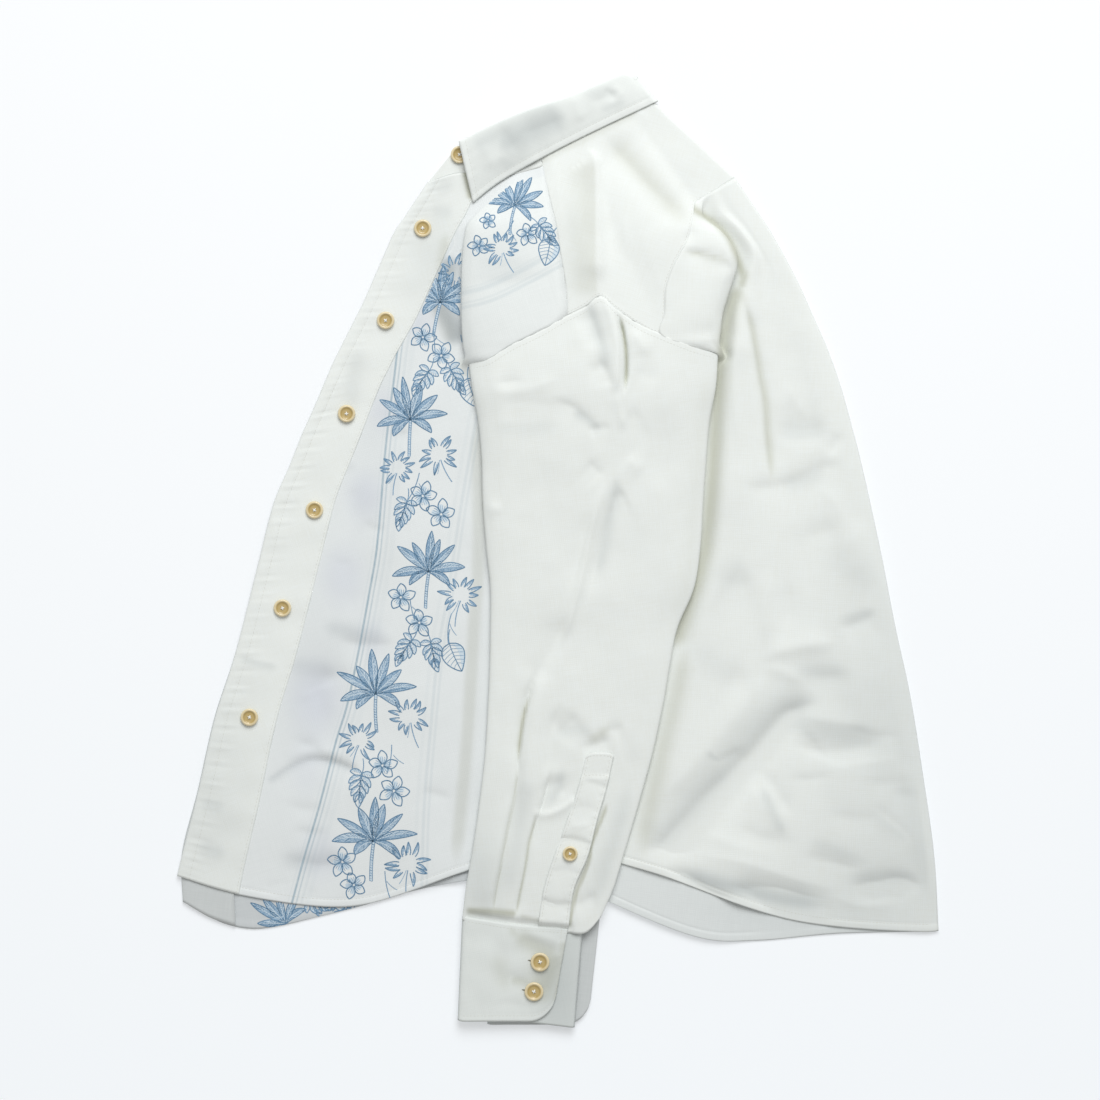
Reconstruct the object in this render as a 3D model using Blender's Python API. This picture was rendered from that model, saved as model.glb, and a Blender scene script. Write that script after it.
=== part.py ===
# Long-sleeved aloha shirt: buttoned, folded in half and laid on its right side, with the left
# sleeve pulled down over the body.
# Metres, +Z up. X runs across the shirt, from the front edge to the centre-back fold, and Y runs
# up it, from hem to neck. The tables are in millimetres, and heights are those of the middle of
# the cloth.
import math
from collections import namedtuple

import bpy
from mathutils import Vector

MM = 0.001

# Cloth
WALL = 1.0
COLLAR_WALL = 1.2
SEAM_GAP = 0.4
CORNER_GAP = 1.2

# Height of the sleeve's rolled edges above its underside
EDGE_RISE = 2.0
LAYER_GAP = 0.4

# Heights of the layers, from the floor up
RIGHT_LEVEL = 0.5
RIGHT_OVER_COLLAR = 2.4
RIGHT_OVER_SLEEVE = 3.3
LEFT_LEVEL = 3.7
LEFT_OVER_SLEEVE = 5.2
SLEEVE_LEVEL = 6.8

# Plackets, cuffs and buttons
PLACKET_WIDTH = 54.0
PLACKET_EDGE = 1.6
RIGHT_PLACKET_WIDTH = 46.0
RIGHT_PLACKET_AT_NECK = 22.0
RIGHT_PLACKET_UNDER = 12.0
PLACKET_LEAN = 0.12
CUFF_CORNER = 22.0
FRONT_BUTTON = 15.2
CUFF_BUTTON = 16.4
SLEEVE_BUTTON = 13.0
BUTTON_THICKNESS = 2.6

# Colours of the cloth and the buttons
CLOTH_COLOUR = (0.80, 0.81, 0.77, 1.0)
PRINTED_COLOUR = (0.74, 0.78, 0.82, 1.0)
BUTTON_COLOUR = (0.72, 0.58, 0.30, 1.0)

# Seams of the left half that two or more pieces share, each point with its height
SeamPoint = namedtuple("SeamPoint", "x y z")

# Down the front of the yoke, from the neck to the armhole
FRONT_YOKE_SEAM = [SeamPoint(*row) for row in (
    (-13.0, 336.5, 7.5), (-8.0, 314.0, 12.0), (-4.5, 299.0, 15.0), (-1.0, 284.0, 18.0),
    (3.0, 257.0, 21.5), (7.0, 231.0, 24.0), (8.0, 205.0, 25.0))]

# Round the armhole, over the top of the sleeve from its front edge to its back edge
ARMHOLE_SEAM = [SeamPoint(*row) for row in (
    (-77.5, 164.0, 8.6), (-60.0, 168.0, 17.5), (-40.0, 180.0, 21.5), (-15.0, 192.0, 24.0),
    (8.0, 205.0, 25.0), (24.0, 213.0, 25.0), (37.0, 222.0, 25.5), (51.0, 211.0, 25.0),
    (70.0, 198.0, 24.5), (88.0, 190.0, 24.0), (114.0, 180.0, 19.5), (139.5, 172.0, 9.6))]

# Up the back of the yoke, from the armhole to the centre back
BACK_YOKE_SEAM = [SeamPoint(*row) for row in (
    (88.0, 190.0, 24.0), (92.0, 207.0, 24.0), (93.0, 228.0, 24.0), (101.0, 250.0, 23.0),
    (112.0, 270.0, 20.5), (117.0, 289.0, 16.0), (120.0, 305.0, 9.5), (134.0, 314.0, 7.0),
    (154.0, 326.0, 4.0))]

# Down the side under the sleeve, where front and back meet
SIDE_SEAM = [SeamPoint(x, y, LEFT_OVER_SLEEVE) for x, y in (
    (30.0, 105.0), (27.0, 60.0), (22.0, 0.0), (16.0, -70.0), (12.0, -125.0), (7.0, -190.0),
    (3.0, -236.0), (2.0, -254.0))]

# Hems, from the front edge to the side seam or from the side seam to the centre back
LEFT_FRONT_HEM = ((-331, -280), (-290, -293), (-253, -302), (-213, -307.5), (-174, -306),
                  (-137, -294.5), (-86, -278), (-33, -260), (2, -254))
RIGHT_FRONT_HEM = ((-325, -303), (-306, -314.5), (-286, -323), (-258, -326.5), (-226, -320),
                   (-174, -307.5), (-120, -292), (-50, -280), (2, -275))
LEFT_BACK_HEM = ((2, -254), (55, -269), (125, -290), (193, -314.5), (235, -330), (280, -331.5),
                 (331, -328))
RIGHT_BACK_HEM = ((2, -284), (41, -302), (82, -318), (113, -332), (162, -337), (235, -331),
                  (280, -329.5), (331, -328))

# Left front above the armhole, a row for each section from the front edge to a seam. The cloth
# turns under at the fold and comes back up over it: valley, under, fold and crest are its places
# there, each with its height.
FrontSection = namedtuple(
    "FrontSection",
    "edge_x edge_y valley_x valley_z under_x under_z fold_x fold_z crest_x crest_z top_z lift")
FRONT_SECTIONS = [FrontSection(*row) for row in (
    (-113, 322, -50, 4.3, -44, 4.9, -38, 5.5, -31, 6.0, 6.8, 0),
    (-128, 300, -66, 4.8, -60, 6.2, -55, 8.2, -47, 11.0, 12.2, 0),
    (-134, 291, -77, 4.8, -72, 6.4, -68, 9.5, -60, 13.5, 15.0, 0),
    (-141, 281, -86, 4.8, -80, 6.6, -78, 10.5, -70, 16.0, 18.0, 0),
    (-155, 250, -92, 4.6, -74, 6.4, -82.5, 11.0, -73, 18.0, 20.5, 0),
    (-168, 220, -93, 4.6, -72, 6.4, -83, 11.5, -74, 19.0, 22.5, 0),
    (-178, 200, -92, 4.6, -71, 6.4, -83, 11.5, -74, 19.0, 23.0, 1),
    (-188, 180, -91, 4.6, -71, 6.4, -82.5, 11.0, -73, 18.0, 21.5, 2),
    (-195, 166, -90, 4.6, -71, 6.3, -81.5, 10.5, -73, 16.5, 19.5, 3.5),
    (-201, 152, -89, 4.6, -73, 6.2, -80, 9.6, -75, 13.5, 16.0, 5),
    (-206, 140, -88, 4.7, -85.0, 5.1, -83.2, 5.8, -81.5, 6.6, 7.6, 0))]
# Share of that lift at each place across
LIFT_SHARES = (0.0, 0.0, 0.3, 1.0, 1.0, 1.0, 0.8, 0.4)

# Left front below the armhole: its front edge, where it goes under the sleeve, and how far it
# follows the curve of the hem
LowerFront = namedtuple("LowerFront", "edge_x edge_y sleeve_x swell follow")
LOWER_FRONT = [LowerFront(*row) for row in (
    (-233, 76, -68, 2.0, 0.0), (-246, 46, -65, 2.6, 0.0), (-261, -12, -61, 3.0, 0.0),
    (-281, -88, -58, 3.0, 0.1), (-298, -140, -61, 2.6, 0.25), (-313, -205, -67, 2.2, 0.5),
    (-327, -262, -74, 1.4, 0.85), (-331, -280, -78, 0.6, 1.0))]

# Back above the side seam, a row for each section from a seam to the centre-back fold. It goes
# over the sleeve head, turns under at the fold, and comes out in a valley beside it.
BackSection = namedtuple(
    "BackSection", "top_z crest_x crest_z fold_x fold_z under_x under_z valley_x ridge_x ridge_z"
                   " centre_x centre_y right_x right_y lift")
BACK_SECTIONS = [BackSection(*row) for row in (
    (8.6, 124.5, 8.2, 127, 7.8, 130, 7.4, 134, 139, 6.6, 154.0, 326.0, 138, 293, 0),
    (15.5, 122, 14.5, 126, 11.5, 125, 8.5, 129.5, 141, 9.5, 167, 307, 131, 279, 0),
    (20.0, 135, 18.5, 143.5, 13.5, 138, 8.0, 147.5, 158, 10.5, 181, 286, 124, 264, 0),
    (22.0, 146, 19.5, 156.0, 13.0, 147, 7.2, 160.5, 171, 9.5, 195, 262, 112, 240, 0),
    (23.5, 140, 20.5, 149.5, 12.5, 138, 6.8, 153.5, 164, 9.5, 211, 231, 102, 219, 0),
    (24.0, 134, 20.5, 143.0, 12.5, 131, 6.8, 147.5, 158, 12.0, 222, 206, 95, 204, 1),
    (23.5, 131, 20.0, 141.0, 12.5, 129, 6.8, 145.0, 158, 13.0, 231, 186, 88, 190, 2.5),
    (18.5, 131, 16.0, 140.0, 11.0, 134, 7.2, 144.5, 158, 13.5, 238, 168, 100, 176, 5),
    (8.9, 141.9, 8.1, 143.3, 7.3, 144.7, 6.4, 146.6, 158, 13.0, 243, 154, 110, 160, 0),
    (5.3, 134.6, 5.2, 136, 5.2, 137.5, 5.2, 141.0, 157, 12.0, 247.8, 139, 105, 140, 0),
    (5.2, 106, 5.2, 115, 5.2, 125, 5.2, 137.0, 157, 11.0, 253, 120, 75, 120, 0))]
# Share of that lift at each place across, after the seam
BACK_LIFT_SHARES = (0.4, 1.0, 1.0, 1.0, 0.7, 0.3, 0.0, 0.0)
BACK_STARTS = [SeamPoint(*row) for row in (
    (120.0, 305.0, 9.5), (117.0, 289.0, 16.0), (112.0, 270.0, 20.5), (101.0, 250.0, 23.0),
    (93.0, 228.0, 24.0), (92.0, 207.0, 24.0), (88.0, 190.0, 24.0), (114.0, 180.0, 19.5),
    (139.5, 172.0, 9.6), (133.0, 164.0, 5.5), (88.0, 132.0, 5.2))]

# Back below the armhole, down to the hem
LowerBack = namedtuple("LowerBack", "valley_x ridge_x ridge_z centre_x centre_y follow")
LOWER_BACK = [LowerBack(*row) for row in (
    (136, 157, 10.5, 261.5, 88, 0.0), (131, 152, 9.5, 272, 42, 0.0), (128, 148, 8.5, 282, -5, 0.0),
    (110, 132, 8.0, 293, -62, 0.0), (98, 120, 7.5, 306, -122, 0.2), (81, 105, 7.5, 317, -190, 0.45),
    (70, 95, 6.8, 327, -262, 0.8), (64, 90, 6.0, 331, -328, 1.0))]

# Left sleeve below its head: its two edges, how high its upper layer swells, the level it lies
# on, and the two sides of the placket
SleeveSection = namedtuple("SleeveSection", "left_x left_y right_x right_y swell level slit_1 slit_2")
SLEEVE_SECTIONS = [SleeveSection(*row) for row in (
    (-73, 142, 136.5, 145, 17.0, 6.8, 0.575, 0.765), (-68, 115, 131, 115, 15.0, 6.8, 0.57, 0.77),
    (-65, 82, 128, 80, 13.5, 6.8, 0.56, 0.77), (-64, 45, 125.5, 45, 12.5, 6.8, 0.56, 0.78),
    (-61, 5, 123, 5, 11.5, 6.8, 0.56, 0.78), (-57.5, -30, 117.5, -30, 11.0, 6.8, 0.57, 0.78),
    (-57.5, -65, 103, -65, 10.5, 6.8, 0.58, 0.78), (-58, -95, 97, -95, 10.0, 6.8, 0.59, 0.78),
    (-59.5, -130, 91, -130, 9.5, 6.8, 0.60, 0.78), (-62, -172, 82, -172, 9.0, 6.8, 0.605, 0.77),
    (-65, -200, 74.5, -200, 8.5, 6.8, 0.60, 0.775), (-69, -230, 66, -230, 8.0, 6.8, 0.575, 0.765),
    (-74, -262, 56.5, -262, 7.5, 6.8, 0.545, 0.765), (-79, -290, 48, -290, 6.5, 6.3, 0.53, 0.735),
    (-82, -315, 38.5, -324, 5.0, 5.6, 0.535, 0.755))]
# Share of the sleeve's width at which its upper points lie, from the front edge to the back edge
SLEEVE_SHARES = (0.0, 0.08, 0.17, 0.29, 0.39, 0.465, 0.53, 0.59, 0.68, 0.765, 0.88, 1.0)
SLIT_FROM = 7
SLIT_TO = 9
SLIT_TOP_SECTION = 10
UNDER_HEAD = ((124.0, 148.0), (98.0, 126.0), (66.0, 110.0), (34.0, 103.0), (2.0, 106.0),
              (-28.0, 120.0), (-56.0, 140.0))

# Right sleeve, flat on the floor under the body: a row for each section
RightSleeve = namedtuple("RightSleeve", "left_x right_x y")
RIGHT_SLEEVE = [RightSleeve(*row) for row in (
    (8, 90, 165), (-20, 108, 148), (-58, 116, 128), (-57, 112, 60), (-54, 104, -20),
    (-52, 92, -100), (-52, 76, -180), (-56, 56, -250), (-60, 44, -300), (-62, 37, -317))]

# Collar leaf: its folded upper edge and its outer edge, from the front to the centre back
CollarSection = namedtuple("CollarSection", "top_x top_y top_z out_x out_y out_z")
COLLAR_SECTIONS = [CollarSection(*row) for row in (
    (-85.5, 356.5, 8.2, -73.5, 304.5, 10.0), (-66.0, 366.0, 9.2, -58.0, 317.0, 13.0),
    (-45.0, 375.5, 10.2, -43.0, 327.0, 14.0), (-22.0, 384.5, 11.0, -19.5, 340.0, 12.5),
    (0.0, 392.0, 11.0, 5.0, 353.0, 11.5), (22.0, 400.5, 10.2, 30.0, 365.5, 10.6),
    (42.0, 409.5, 9.2, 56.0, 378.0, 9.6), (58.0, 416.5, 7.8, 73.0, 386.0, 8.4))]
COLLAR_CENTRE = CollarSection(68.0, 415.0, 3.4, 87.4, 392.8, 3.8)

# Neck seam, from the front edge to the centre back, with the height of the left half there. The
# front ends at the fifth point, and the yoke begins higher, under the leaf.
NECK_SEAM = [SeamPoint(*row) for row in (
    (-113.0, 322.0, 3.7), (-88.0, 330.0, 3.9), (-60.0, 327.5, 4.4), (-36.0, 329.5, 5.8),
    (-13.4, 336.5, 7.5), (-13.4, 346.0, 7.4), (5.0, 357.0, 7.0), (29.0, 369.5, 6.4),
    (54.0, 381.5, 5.6), (70.0, 389.0, 5.0))]
FRONT_NECK_END = 4
NECK_CENTRE = SeamPoint(81.2, 394.2, 3.4)
# Upper edge of the collar stand above each of those points
STAND_TOP = ((-94.0, 345.0), (-85.0, 352.5), (-63.0, 361.5), (-42.0, 370.5), (-24.0, 378.0),
             (-12.0, 383.0), (4.0, 389.0), (24.0, 397.0), (44.0, 406.0), (58.0, 411.5))
STAND_CENTRE = (64.5, 410.5)

# Buttons: name, place and size
Button = namedtuple("Button", "name x y diameter under")
BUTTONS = [Button(*row) for row in (
    ("front_button_1", -89.5, 346.0, FRONT_BUTTON, "collar_stand"),
    ("front_button_2", -117.0, 282.3, FRONT_BUTTON, "left_front_placket"),
    ("front_button_3", -149.2, 202.3, FRONT_BUTTON, "left_front_placket"),
    ("front_button_4", -183.1, 121.4, FRONT_BUTTON, "left_front_placket"),
    ("front_button_5", -211.0, 37.8, FRONT_BUTTON, "left_front_placket"),
    ("front_button_6", -238.8, -47.4, FRONT_BUTTON, "left_front_placket"),
    ("front_button_7", -267.5, -142.2, FRONT_BUTTON, "left_front_placket"),
    ("cuff_button_1", -15.2, -354.2, CUFF_BUTTON, "left_cuff"),
    ("cuff_button_2", -20.4, -379.8, CUFF_BUTTON, "left_cuff"),
    ("sleeve_placket_button", 10.9, -259.7, SLEEVE_BUTTON, "left_sleeve_placket"))]

# Largest folds of the upper side: a soft ridge or trough along a line, narrowing to its ends
Fold = namedtuple("Fold", "x1 y1 x2 y2 height width")
BODY_FOLDS = [Fold(*row) for row in (
    (235, -112, 60, -268, -4.0, 16), (205, -85, 95, -185, 3.5, 22), (160, 190, 178, 60, 2.5, 14),
    (178, 200, 190, 95, -3.0, 10), (300, -170, 150, -250, 2.5, 20), (-222, 20, -196, -110, -2.0, 16),
    (-150, 120, -170, -60, 2.0, 22), (250, 20, 215, -110, -2.0, 24))]
YOKE_FOLDS = [Fold(*row) for row in (
    (18, 352, 39, 240, 2.5, 9), (46, 352, 112, 300, -3.0, 14), (95, 350, 140, 300, 2.0, 16))]
SLEEVE_FOLDS = [Fold(*row) for row in (
    (52, 110, 12, -60, -3.0, 10), (14, -40, -30, -130, -2.5, 10), (-12, -80, -56, -312, -3.0, 9),
    (-8, -170, -36, -315, -2.5, 8), (66, 190, 56, 120, -4.0, 8), (95, 150, 92, 60, -2.0, 14))]


def point(x, y, z):
    return Vector((x, y, z))


def lerp(a, b, share):
    return a + (b - a) * share


def curve_through(points, steps):
    # A smooth curve through the points, with the given number of steps between each two.
    ends = [points[0] * 2 - points[1]] + list(points) + [points[-1] * 2 - points[-2]]
    result = []
    for a, b, c, d in zip(ends, ends[1:], ends[2:], ends[3:]):
        k1 = math.sqrt((b - a).length)
        k2 = k1 + math.sqrt((c - b).length)
        k3 = k2 + math.sqrt((d - c).length)
        for step in range(steps):
            t = lerp(k1, k2, step / steps)
            ab = a.lerp(b, t / k1)
            bc = b.lerp(c, (t - k1) / (k2 - k1))
            cd = c.lerp(d, (t - k2) / (k3 - k2))
            abc = ab.lerp(bc, t / k2)
            bcd = bc.lerp(cd, (t - k1) / (k3 - k1))
            result.append(abc.lerp(bcd, (t - k1) / (k2 - k1)))
    return result + [points[-1].copy()]


def smooth_rows(rows, steps):
    # More sections between the given ones, each point on a smooth curve down the piece.
    columns = [curve_through([row[i] for row in rows], steps) for i in range(len(rows[0]))]
    return [[column[i] for column in columns] for i in range(len(columns[0]))]


def height_on(curve, x):
    # Y of a curve given by (x, y) points, smooth between them.
    for (xa, ya), (xb, yb), before, after in zip(
            curve, curve[1:], (curve[0],) + tuple(curve[:-2]), tuple(curve[2:]) + (curve[-1],)):
        if x <= xb or (xb, yb) == tuple(curve[-1]):
            share = min(max((x - xa) / (xb - xa), 0.0), 1.0)
            slope_a = (yb - before[1]) / (xb - before[0])
            slope_b = (after[1] - ya) / (after[0] - xa)
            width = xb - xa
            h1 = (1 + 2 * share) * (1 - share) ** 2
            h2 = share * (1 - share) ** 2
            h3 = share ** 2 * (3 - 2 * share)
            h4 = share ** 2 * (share - 1)
            return h1 * ya + h2 * width * slope_a + h3 * yb + h4 * width * slope_b
    return curve[-1][1]


def fold_height(folds, x, y):
    total = 0.0
    for fold in folds:
        along = Vector((fold.x2 - fold.x1, fold.y2 - fold.y1))
        place = Vector((x - fold.x1, y - fold.y1))
        share = place.dot(along) / along.length_squared
        if 0.0 < share < 1.0:
            aside = abs(place.x * along.y - place.y * along.x) / along.length
            total += fold.height * math.sin(math.pi * share) * math.exp(-(aside / fold.width) ** 2)
    return total


def normals(grid):
    # Direction across the cloth at each point of a grid.
    result = []
    last_row = len(grid) - 1
    for r, row in enumerate(grid):
        last = len(row) - 1
        line = []
        for c in range(len(row)):
            across = row[min(c + 1, last)] - row[max(c - 1, 0)]
            down = grid[min(r + 1, last_row)][c] - grid[max(r - 1, 0)][c]
            line.append(down.cross(across).normalized())
        result.append(line)
    return result


def moved_out(grid, distance):
    # The same grid laid on the cloth's upper side, a distance from its middle.
    return [[p + n * distance for p, n in zip(row, line)] for row, line in zip(grid, normals(grid))]


def material(name, colour, roughness):
    mat = bpy.data.materials.new(name)
    mat.use_nodes = True
    shader = mat.node_tree.nodes["Principled BSDF"]
    shader.inputs["Base Color"].default_value = colour
    shader.inputs["Roughness"].default_value = roughness
    shader.inputs["Metallic"].default_value = 0.0
    return mat


def mesh_object(name, points, faces, mat):
    mesh = bpy.data.meshes.new(name)
    mesh.from_pydata([p * MM for p in points], [], faces)
    mesh.validate()
    mesh.update()
    mesh.shade_smooth()
    obj = bpy.data.objects.new(name, mesh)
    obj.data.materials.append(mat)
    bpy.context.scene.collection.objects.link(obj)
    return obj


def cloth(name, grid, mat, wall=WALL, ring=False):
    # A wall of cloth whose middle is the grid of points. In a ring the last column joins the first.
    rows = len(grid)
    columns = len(grid[0])
    faces = []
    for r in range(rows - 1):
        for c in range(columns if ring else columns - 1):
            after = (c + 1) % columns
            faces.append((r * columns + c, (r + 1) * columns + c,
                          (r + 1) * columns + after, r * columns + after))
    obj = mesh_object(name, [p for row in grid for p in row], faces, mat)
    solidify = obj.modifiers.new("Wall", "SOLIDIFY")
    solidify.thickness = wall * MM
    solidify.offset = 0.0
    return obj


def section_y(x, x1, y1, x2, y2, hem, follow):
    # Y of a section that runs straight between its ends, or follows the hem's curve.
    share = (x - x1) / (x2 - x1)
    straight = lerp(y1, y2, share)
    if follow == 0.0:
        return straight
    chord = lerp(hem[0][1], hem[-1][1], (x - hem[0][0]) / (hem[-1][0] - hem[0][0]))
    return straight + follow * (height_on(hem, x) - chord)


def front_row(section, end):
    s = section
    mid_x = (s.crest_x + end.x) / 2
    places = ((s.edge_x + PLACKET_EDGE, LEFT_LEVEL), (s.edge_x + PLACKET_WIDTH / 2, LEFT_LEVEL),
              (s.edge_x + PLACKET_WIDTH, LEFT_LEVEL), (s.valley_x, s.valley_z),
              (s.under_x, s.under_z), (s.fold_x, s.fold_z), (s.crest_x, s.crest_z), (mid_x, s.top_z))
    row = []
    for (x, z), lifted in zip(places, LIFT_SHARES):
        share = min((x - s.edge_x) / (end.x - s.edge_x), 1.0)
        row.append(point(x, lerp(s.edge_y, end.y, share) + s.lift * lifted, z))
    return row + [point(end.x, end.y, end.z)]


def lower_front_row(section, end):
    s = section
    reach = end.x - s.sleeve_x
    rise = LEFT_LEVEL + s.swell
    places = ((s.edge_x + PLACKET_EDGE, LEFT_LEVEL), (s.edge_x + PLACKET_WIDTH / 2, LEFT_LEVEL),
              (s.edge_x + PLACKET_WIDTH, LEFT_LEVEL),
              (lerp(s.edge_x + PLACKET_WIDTH, s.sleeve_x, 0.5), rise),
              (s.sleeve_x - 12, LEFT_OVER_SLEEVE), (s.sleeve_x + reach * 0.10, LEFT_OVER_SLEEVE),
              (s.sleeve_x + reach * 0.4, LEFT_OVER_SLEEVE), (s.sleeve_x + reach * 0.7, LEFT_OVER_SLEEVE),
              (end.x, LEFT_OVER_SLEEVE))
    return [point(x, section_y(x, s.edge_x, s.edge_y, end.x, end.y, LEFT_FRONT_HEM, s.follow), z)
            for x, z in places]


def neck_y(x):
    front = [(p.x, p.y) for p in NECK_SEAM[:FRONT_NECK_END + 1]]
    return height_on(front, x)


def with_folds(grid, folds, start=0):
    for row in grid:
        for p in row[start:]:
            p.z += fold_height(folds, p.x, p.y)
    return grid


def left_front_grid():
    ends = FRONT_YOKE_SEAM + ARMHOLE_SEAM[3::-1]
    upper = [front_row(section, end) for section, end in zip(FRONT_SECTIONS, ends)]
    upper.append([point(x, y, LEFT_OVER_SLEEVE) for x, y in (
        (-213 + PLACKET_EDGE, 124), (-186, 129), (-159, 133.5), (-92, 146), (-88, 148), (-84, 150),
        (-80, 152.5), (-75.5, 155), (-71, 157))])
    upper.append([point(x, y, LEFT_OVER_SLEEVE) for x, y in (
        (-222 + PLACKET_EDGE, 104), (-195, 107), (-168, 110), (-88, 119), (-76, 120), (-64, 121.5),
        (-53, 123), (-42, 124), (-30, 125))])
    for row in upper[-2:]:
        for p in row[:3]:
            p.z = LEFT_LEVEL
    lower = [lower_front_row(section, end) for section, end in zip(LOWER_FRONT, SIDE_SEAM)]
    for p in upper[0]:
        p.y = neck_y(p.x) - SEAM_GAP / 2
    for row in upper:
        row[-1].x -= SEAM_GAP / 2
    for row in upper[len(FRONT_YOKE_SEAM) - 1:]:
        row[-1].y += SEAM_GAP / 2
    for row in lower:
        row[-1].x -= SEAM_GAP / 2
    rows = upper[:8] + smooth_rows(upper[8:12], 2) + upper[12:] + smooth_rows(lower, 2)
    grid = [curve_through(row, 2) for row in rows]
    return with_folds(grid, BODY_FOLDS, 6)


def left_front(mat):
    grid = left_front_grid()
    cloth("left_front", grid, mat)
    return grid


def left_front_placket(front_grid, mat):
    strip = [row[:5] for row in front_grid]
    cloth("left_front_placket", moved_out(strip, WALL + LAYER_GAP), mat)


def right_front_placket(mat):
    # It makes the rolled front edge: from under, round the edge, and back under the left placket.
    rows = []
    edges = [(s.edge_x, s.edge_y) for s in FRONT_SECTIONS] + [(-213, 124), (-222, 104)]
    edges += [(s.edge_x, s.edge_y) for s in LOWER_FRONT]
    for index, (x, y) in enumerate(edges):
        width = RIGHT_PLACKET_WIDTH if index > 3 else RIGHT_PLACKET_AT_NECK
        places = ((RIGHT_PLACKET_UNDER, RIGHT_LEVEL), (1.6, RIGHT_LEVEL), (0.5, 1.3), (1.6, 2.1),
                  (width / 2, 2.1), (width, 2.1))
        rows.append([point(x + aside, y + aside * PLACKET_LEAN - 1.0, z) for aside, z in places])
    for p in rows[-1]:
        p.x += 5.0
        p.y = height_on(RIGHT_FRONT_HEM, p.x)
    cloth("right_front_placket", rows, mat)


def right_front(mat):
    # Flat on the floor, raised where the right collar leaf and the right sleeve lie under it.
    first = RIGHT_PLACKET_UNDER + SEAM_GAP
    armhole = ((4, 172), (-4, 160), (-6, 150), (-3, 138), (4, 127), (14, 116))
    edges = [(s.edge_x, s.edge_y) for s in FRONT_SECTIONS] + [(-213, 124), (-222, 104)]
    rows = []
    for index, ((edge_x, edge_y), end) in enumerate(zip(edges, FRONT_YOKE_SEAM)):
        level = RIGHT_OVER_COLLAR if index < 2 else RIGHT_LEVEL
        places = ((edge_x + first, RIGHT_LEVEL), (lerp(edge_x + first, -90, 0.5), RIGHT_LEVEL),
                  (-90, RIGHT_LEVEL), (-80, level), (-62, level), (-38, level), (end.x - SEAM_GAP, level))
        rows.append([point(x, lerp(edge_y, end.y, (x - edge_x) / (end.x - edge_x)), z) for x, z in places])
    for (edge_x, edge_y), (end_x, end_y) in zip(edges[7:], armhole):
        places = ((edge_x + first, RIGHT_LEVEL), (lerp(edge_x + first, -108, 0.5), RIGHT_LEVEL),
                  (-108, RIGHT_LEVEL), (-68, RIGHT_OVER_SLEEVE), (-50, RIGHT_OVER_SLEEVE),
                  (-30, RIGHT_OVER_SLEEVE), (end_x, RIGHT_OVER_SLEEVE))
        rows.append([point(x, lerp(edge_y, end_y, (x - edge_x) / (end_x - edge_x)), z) for x, z in places])
    for section, end in zip(LOWER_FRONT, SIDE_SEAM):
        s = section
        end_y = end.y if s.follow < 0.4 else lerp(end.y, -275, (s.follow - 0.4) / 0.6)
        places = ((s.edge_x + first, RIGHT_LEVEL), (lerp(s.edge_x + first, -112, 0.5), RIGHT_LEVEL),
                  (-112, RIGHT_LEVEL), (-78, RIGHT_OVER_SLEEVE), (-50, RIGHT_OVER_SLEEVE),
                  (-20, RIGHT_OVER_SLEEVE), (end.x - 0.3, RIGHT_OVER_SLEEVE))
        edge_y = lerp(s.edge_y, -303, s.follow)
        rows.append([point(x, section_y(x, s.edge_x, edge_y, end.x, end_y, RIGHT_FRONT_HEM, s.follow), z)
                     for x, z in places])
        edges.append((s.edge_x, s.edge_y))
    for row, (edge_x, edge_y) in zip(rows, edges):
        row[0].y = edge_y + RIGHT_PLACKET_UNDER * PLACKET_LEAN - 1.0
    rows[-1][0].x += 5.0
    grid = [subdivided(row, 3) for row in rows]
    for p in grid[0][3:]:
        p.y = neck_y(p.x) - SEAM_GAP / 2
    for p in grid[-1]:
        p.y = height_on(RIGHT_FRONT_HEM, p.x)
    cloth("right_front", grid, mat)


def subdivided(row, steps):
    result = []
    for a, b in zip(row, row[1:]):
        result += [a.lerp(b, step / steps) for step in range(steps)]
    return result + [row[-1]]


def fold_points(x, y, level, lean):
    # Round the centre-back fold, from the left half above to the right half below.
    reach = (level - RIGHT_LEVEL) / 2
    middle = RIGHT_LEVEL + reach
    places = ((-reach * 1.1, level), (-reach * 0.35, middle + reach * 0.75), (0.0, middle),
              (-reach * 0.35, middle - reach * 0.75), (-reach * 1.1, RIGHT_LEVEL))
    return [point(x + aside, y + aside * lean, z) for aside, z in places]


def back_half_row(start, s):
    # Left half of a section, from its seam to just before the centre-back fold.
    roll_x = s.centre_x - 13.0
    places = [(lerp(start.x, s.crest_x, 0.5), s.top_z), (s.crest_x, s.crest_z), (s.fold_x, s.fold_z),
              (s.under_x, s.under_z), (s.valley_x, 5.4), (s.ridge_x, s.ridge_z),
              (lerp(s.ridge_x, roll_x, 0.5), 6.2), (roll_x, 6.4)]
    row = [point(start.x, start.y, start.z)]
    for (x, z), lifted in zip(places, BACK_LIFT_SHARES):
        share = min(max((x - start.x) / (s.centre_x - start.x), 0.0), 1.0)
        row.append(point(x, lerp(start.y, s.centre_y, share) + s.lift * lifted, z))
    return row


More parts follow.
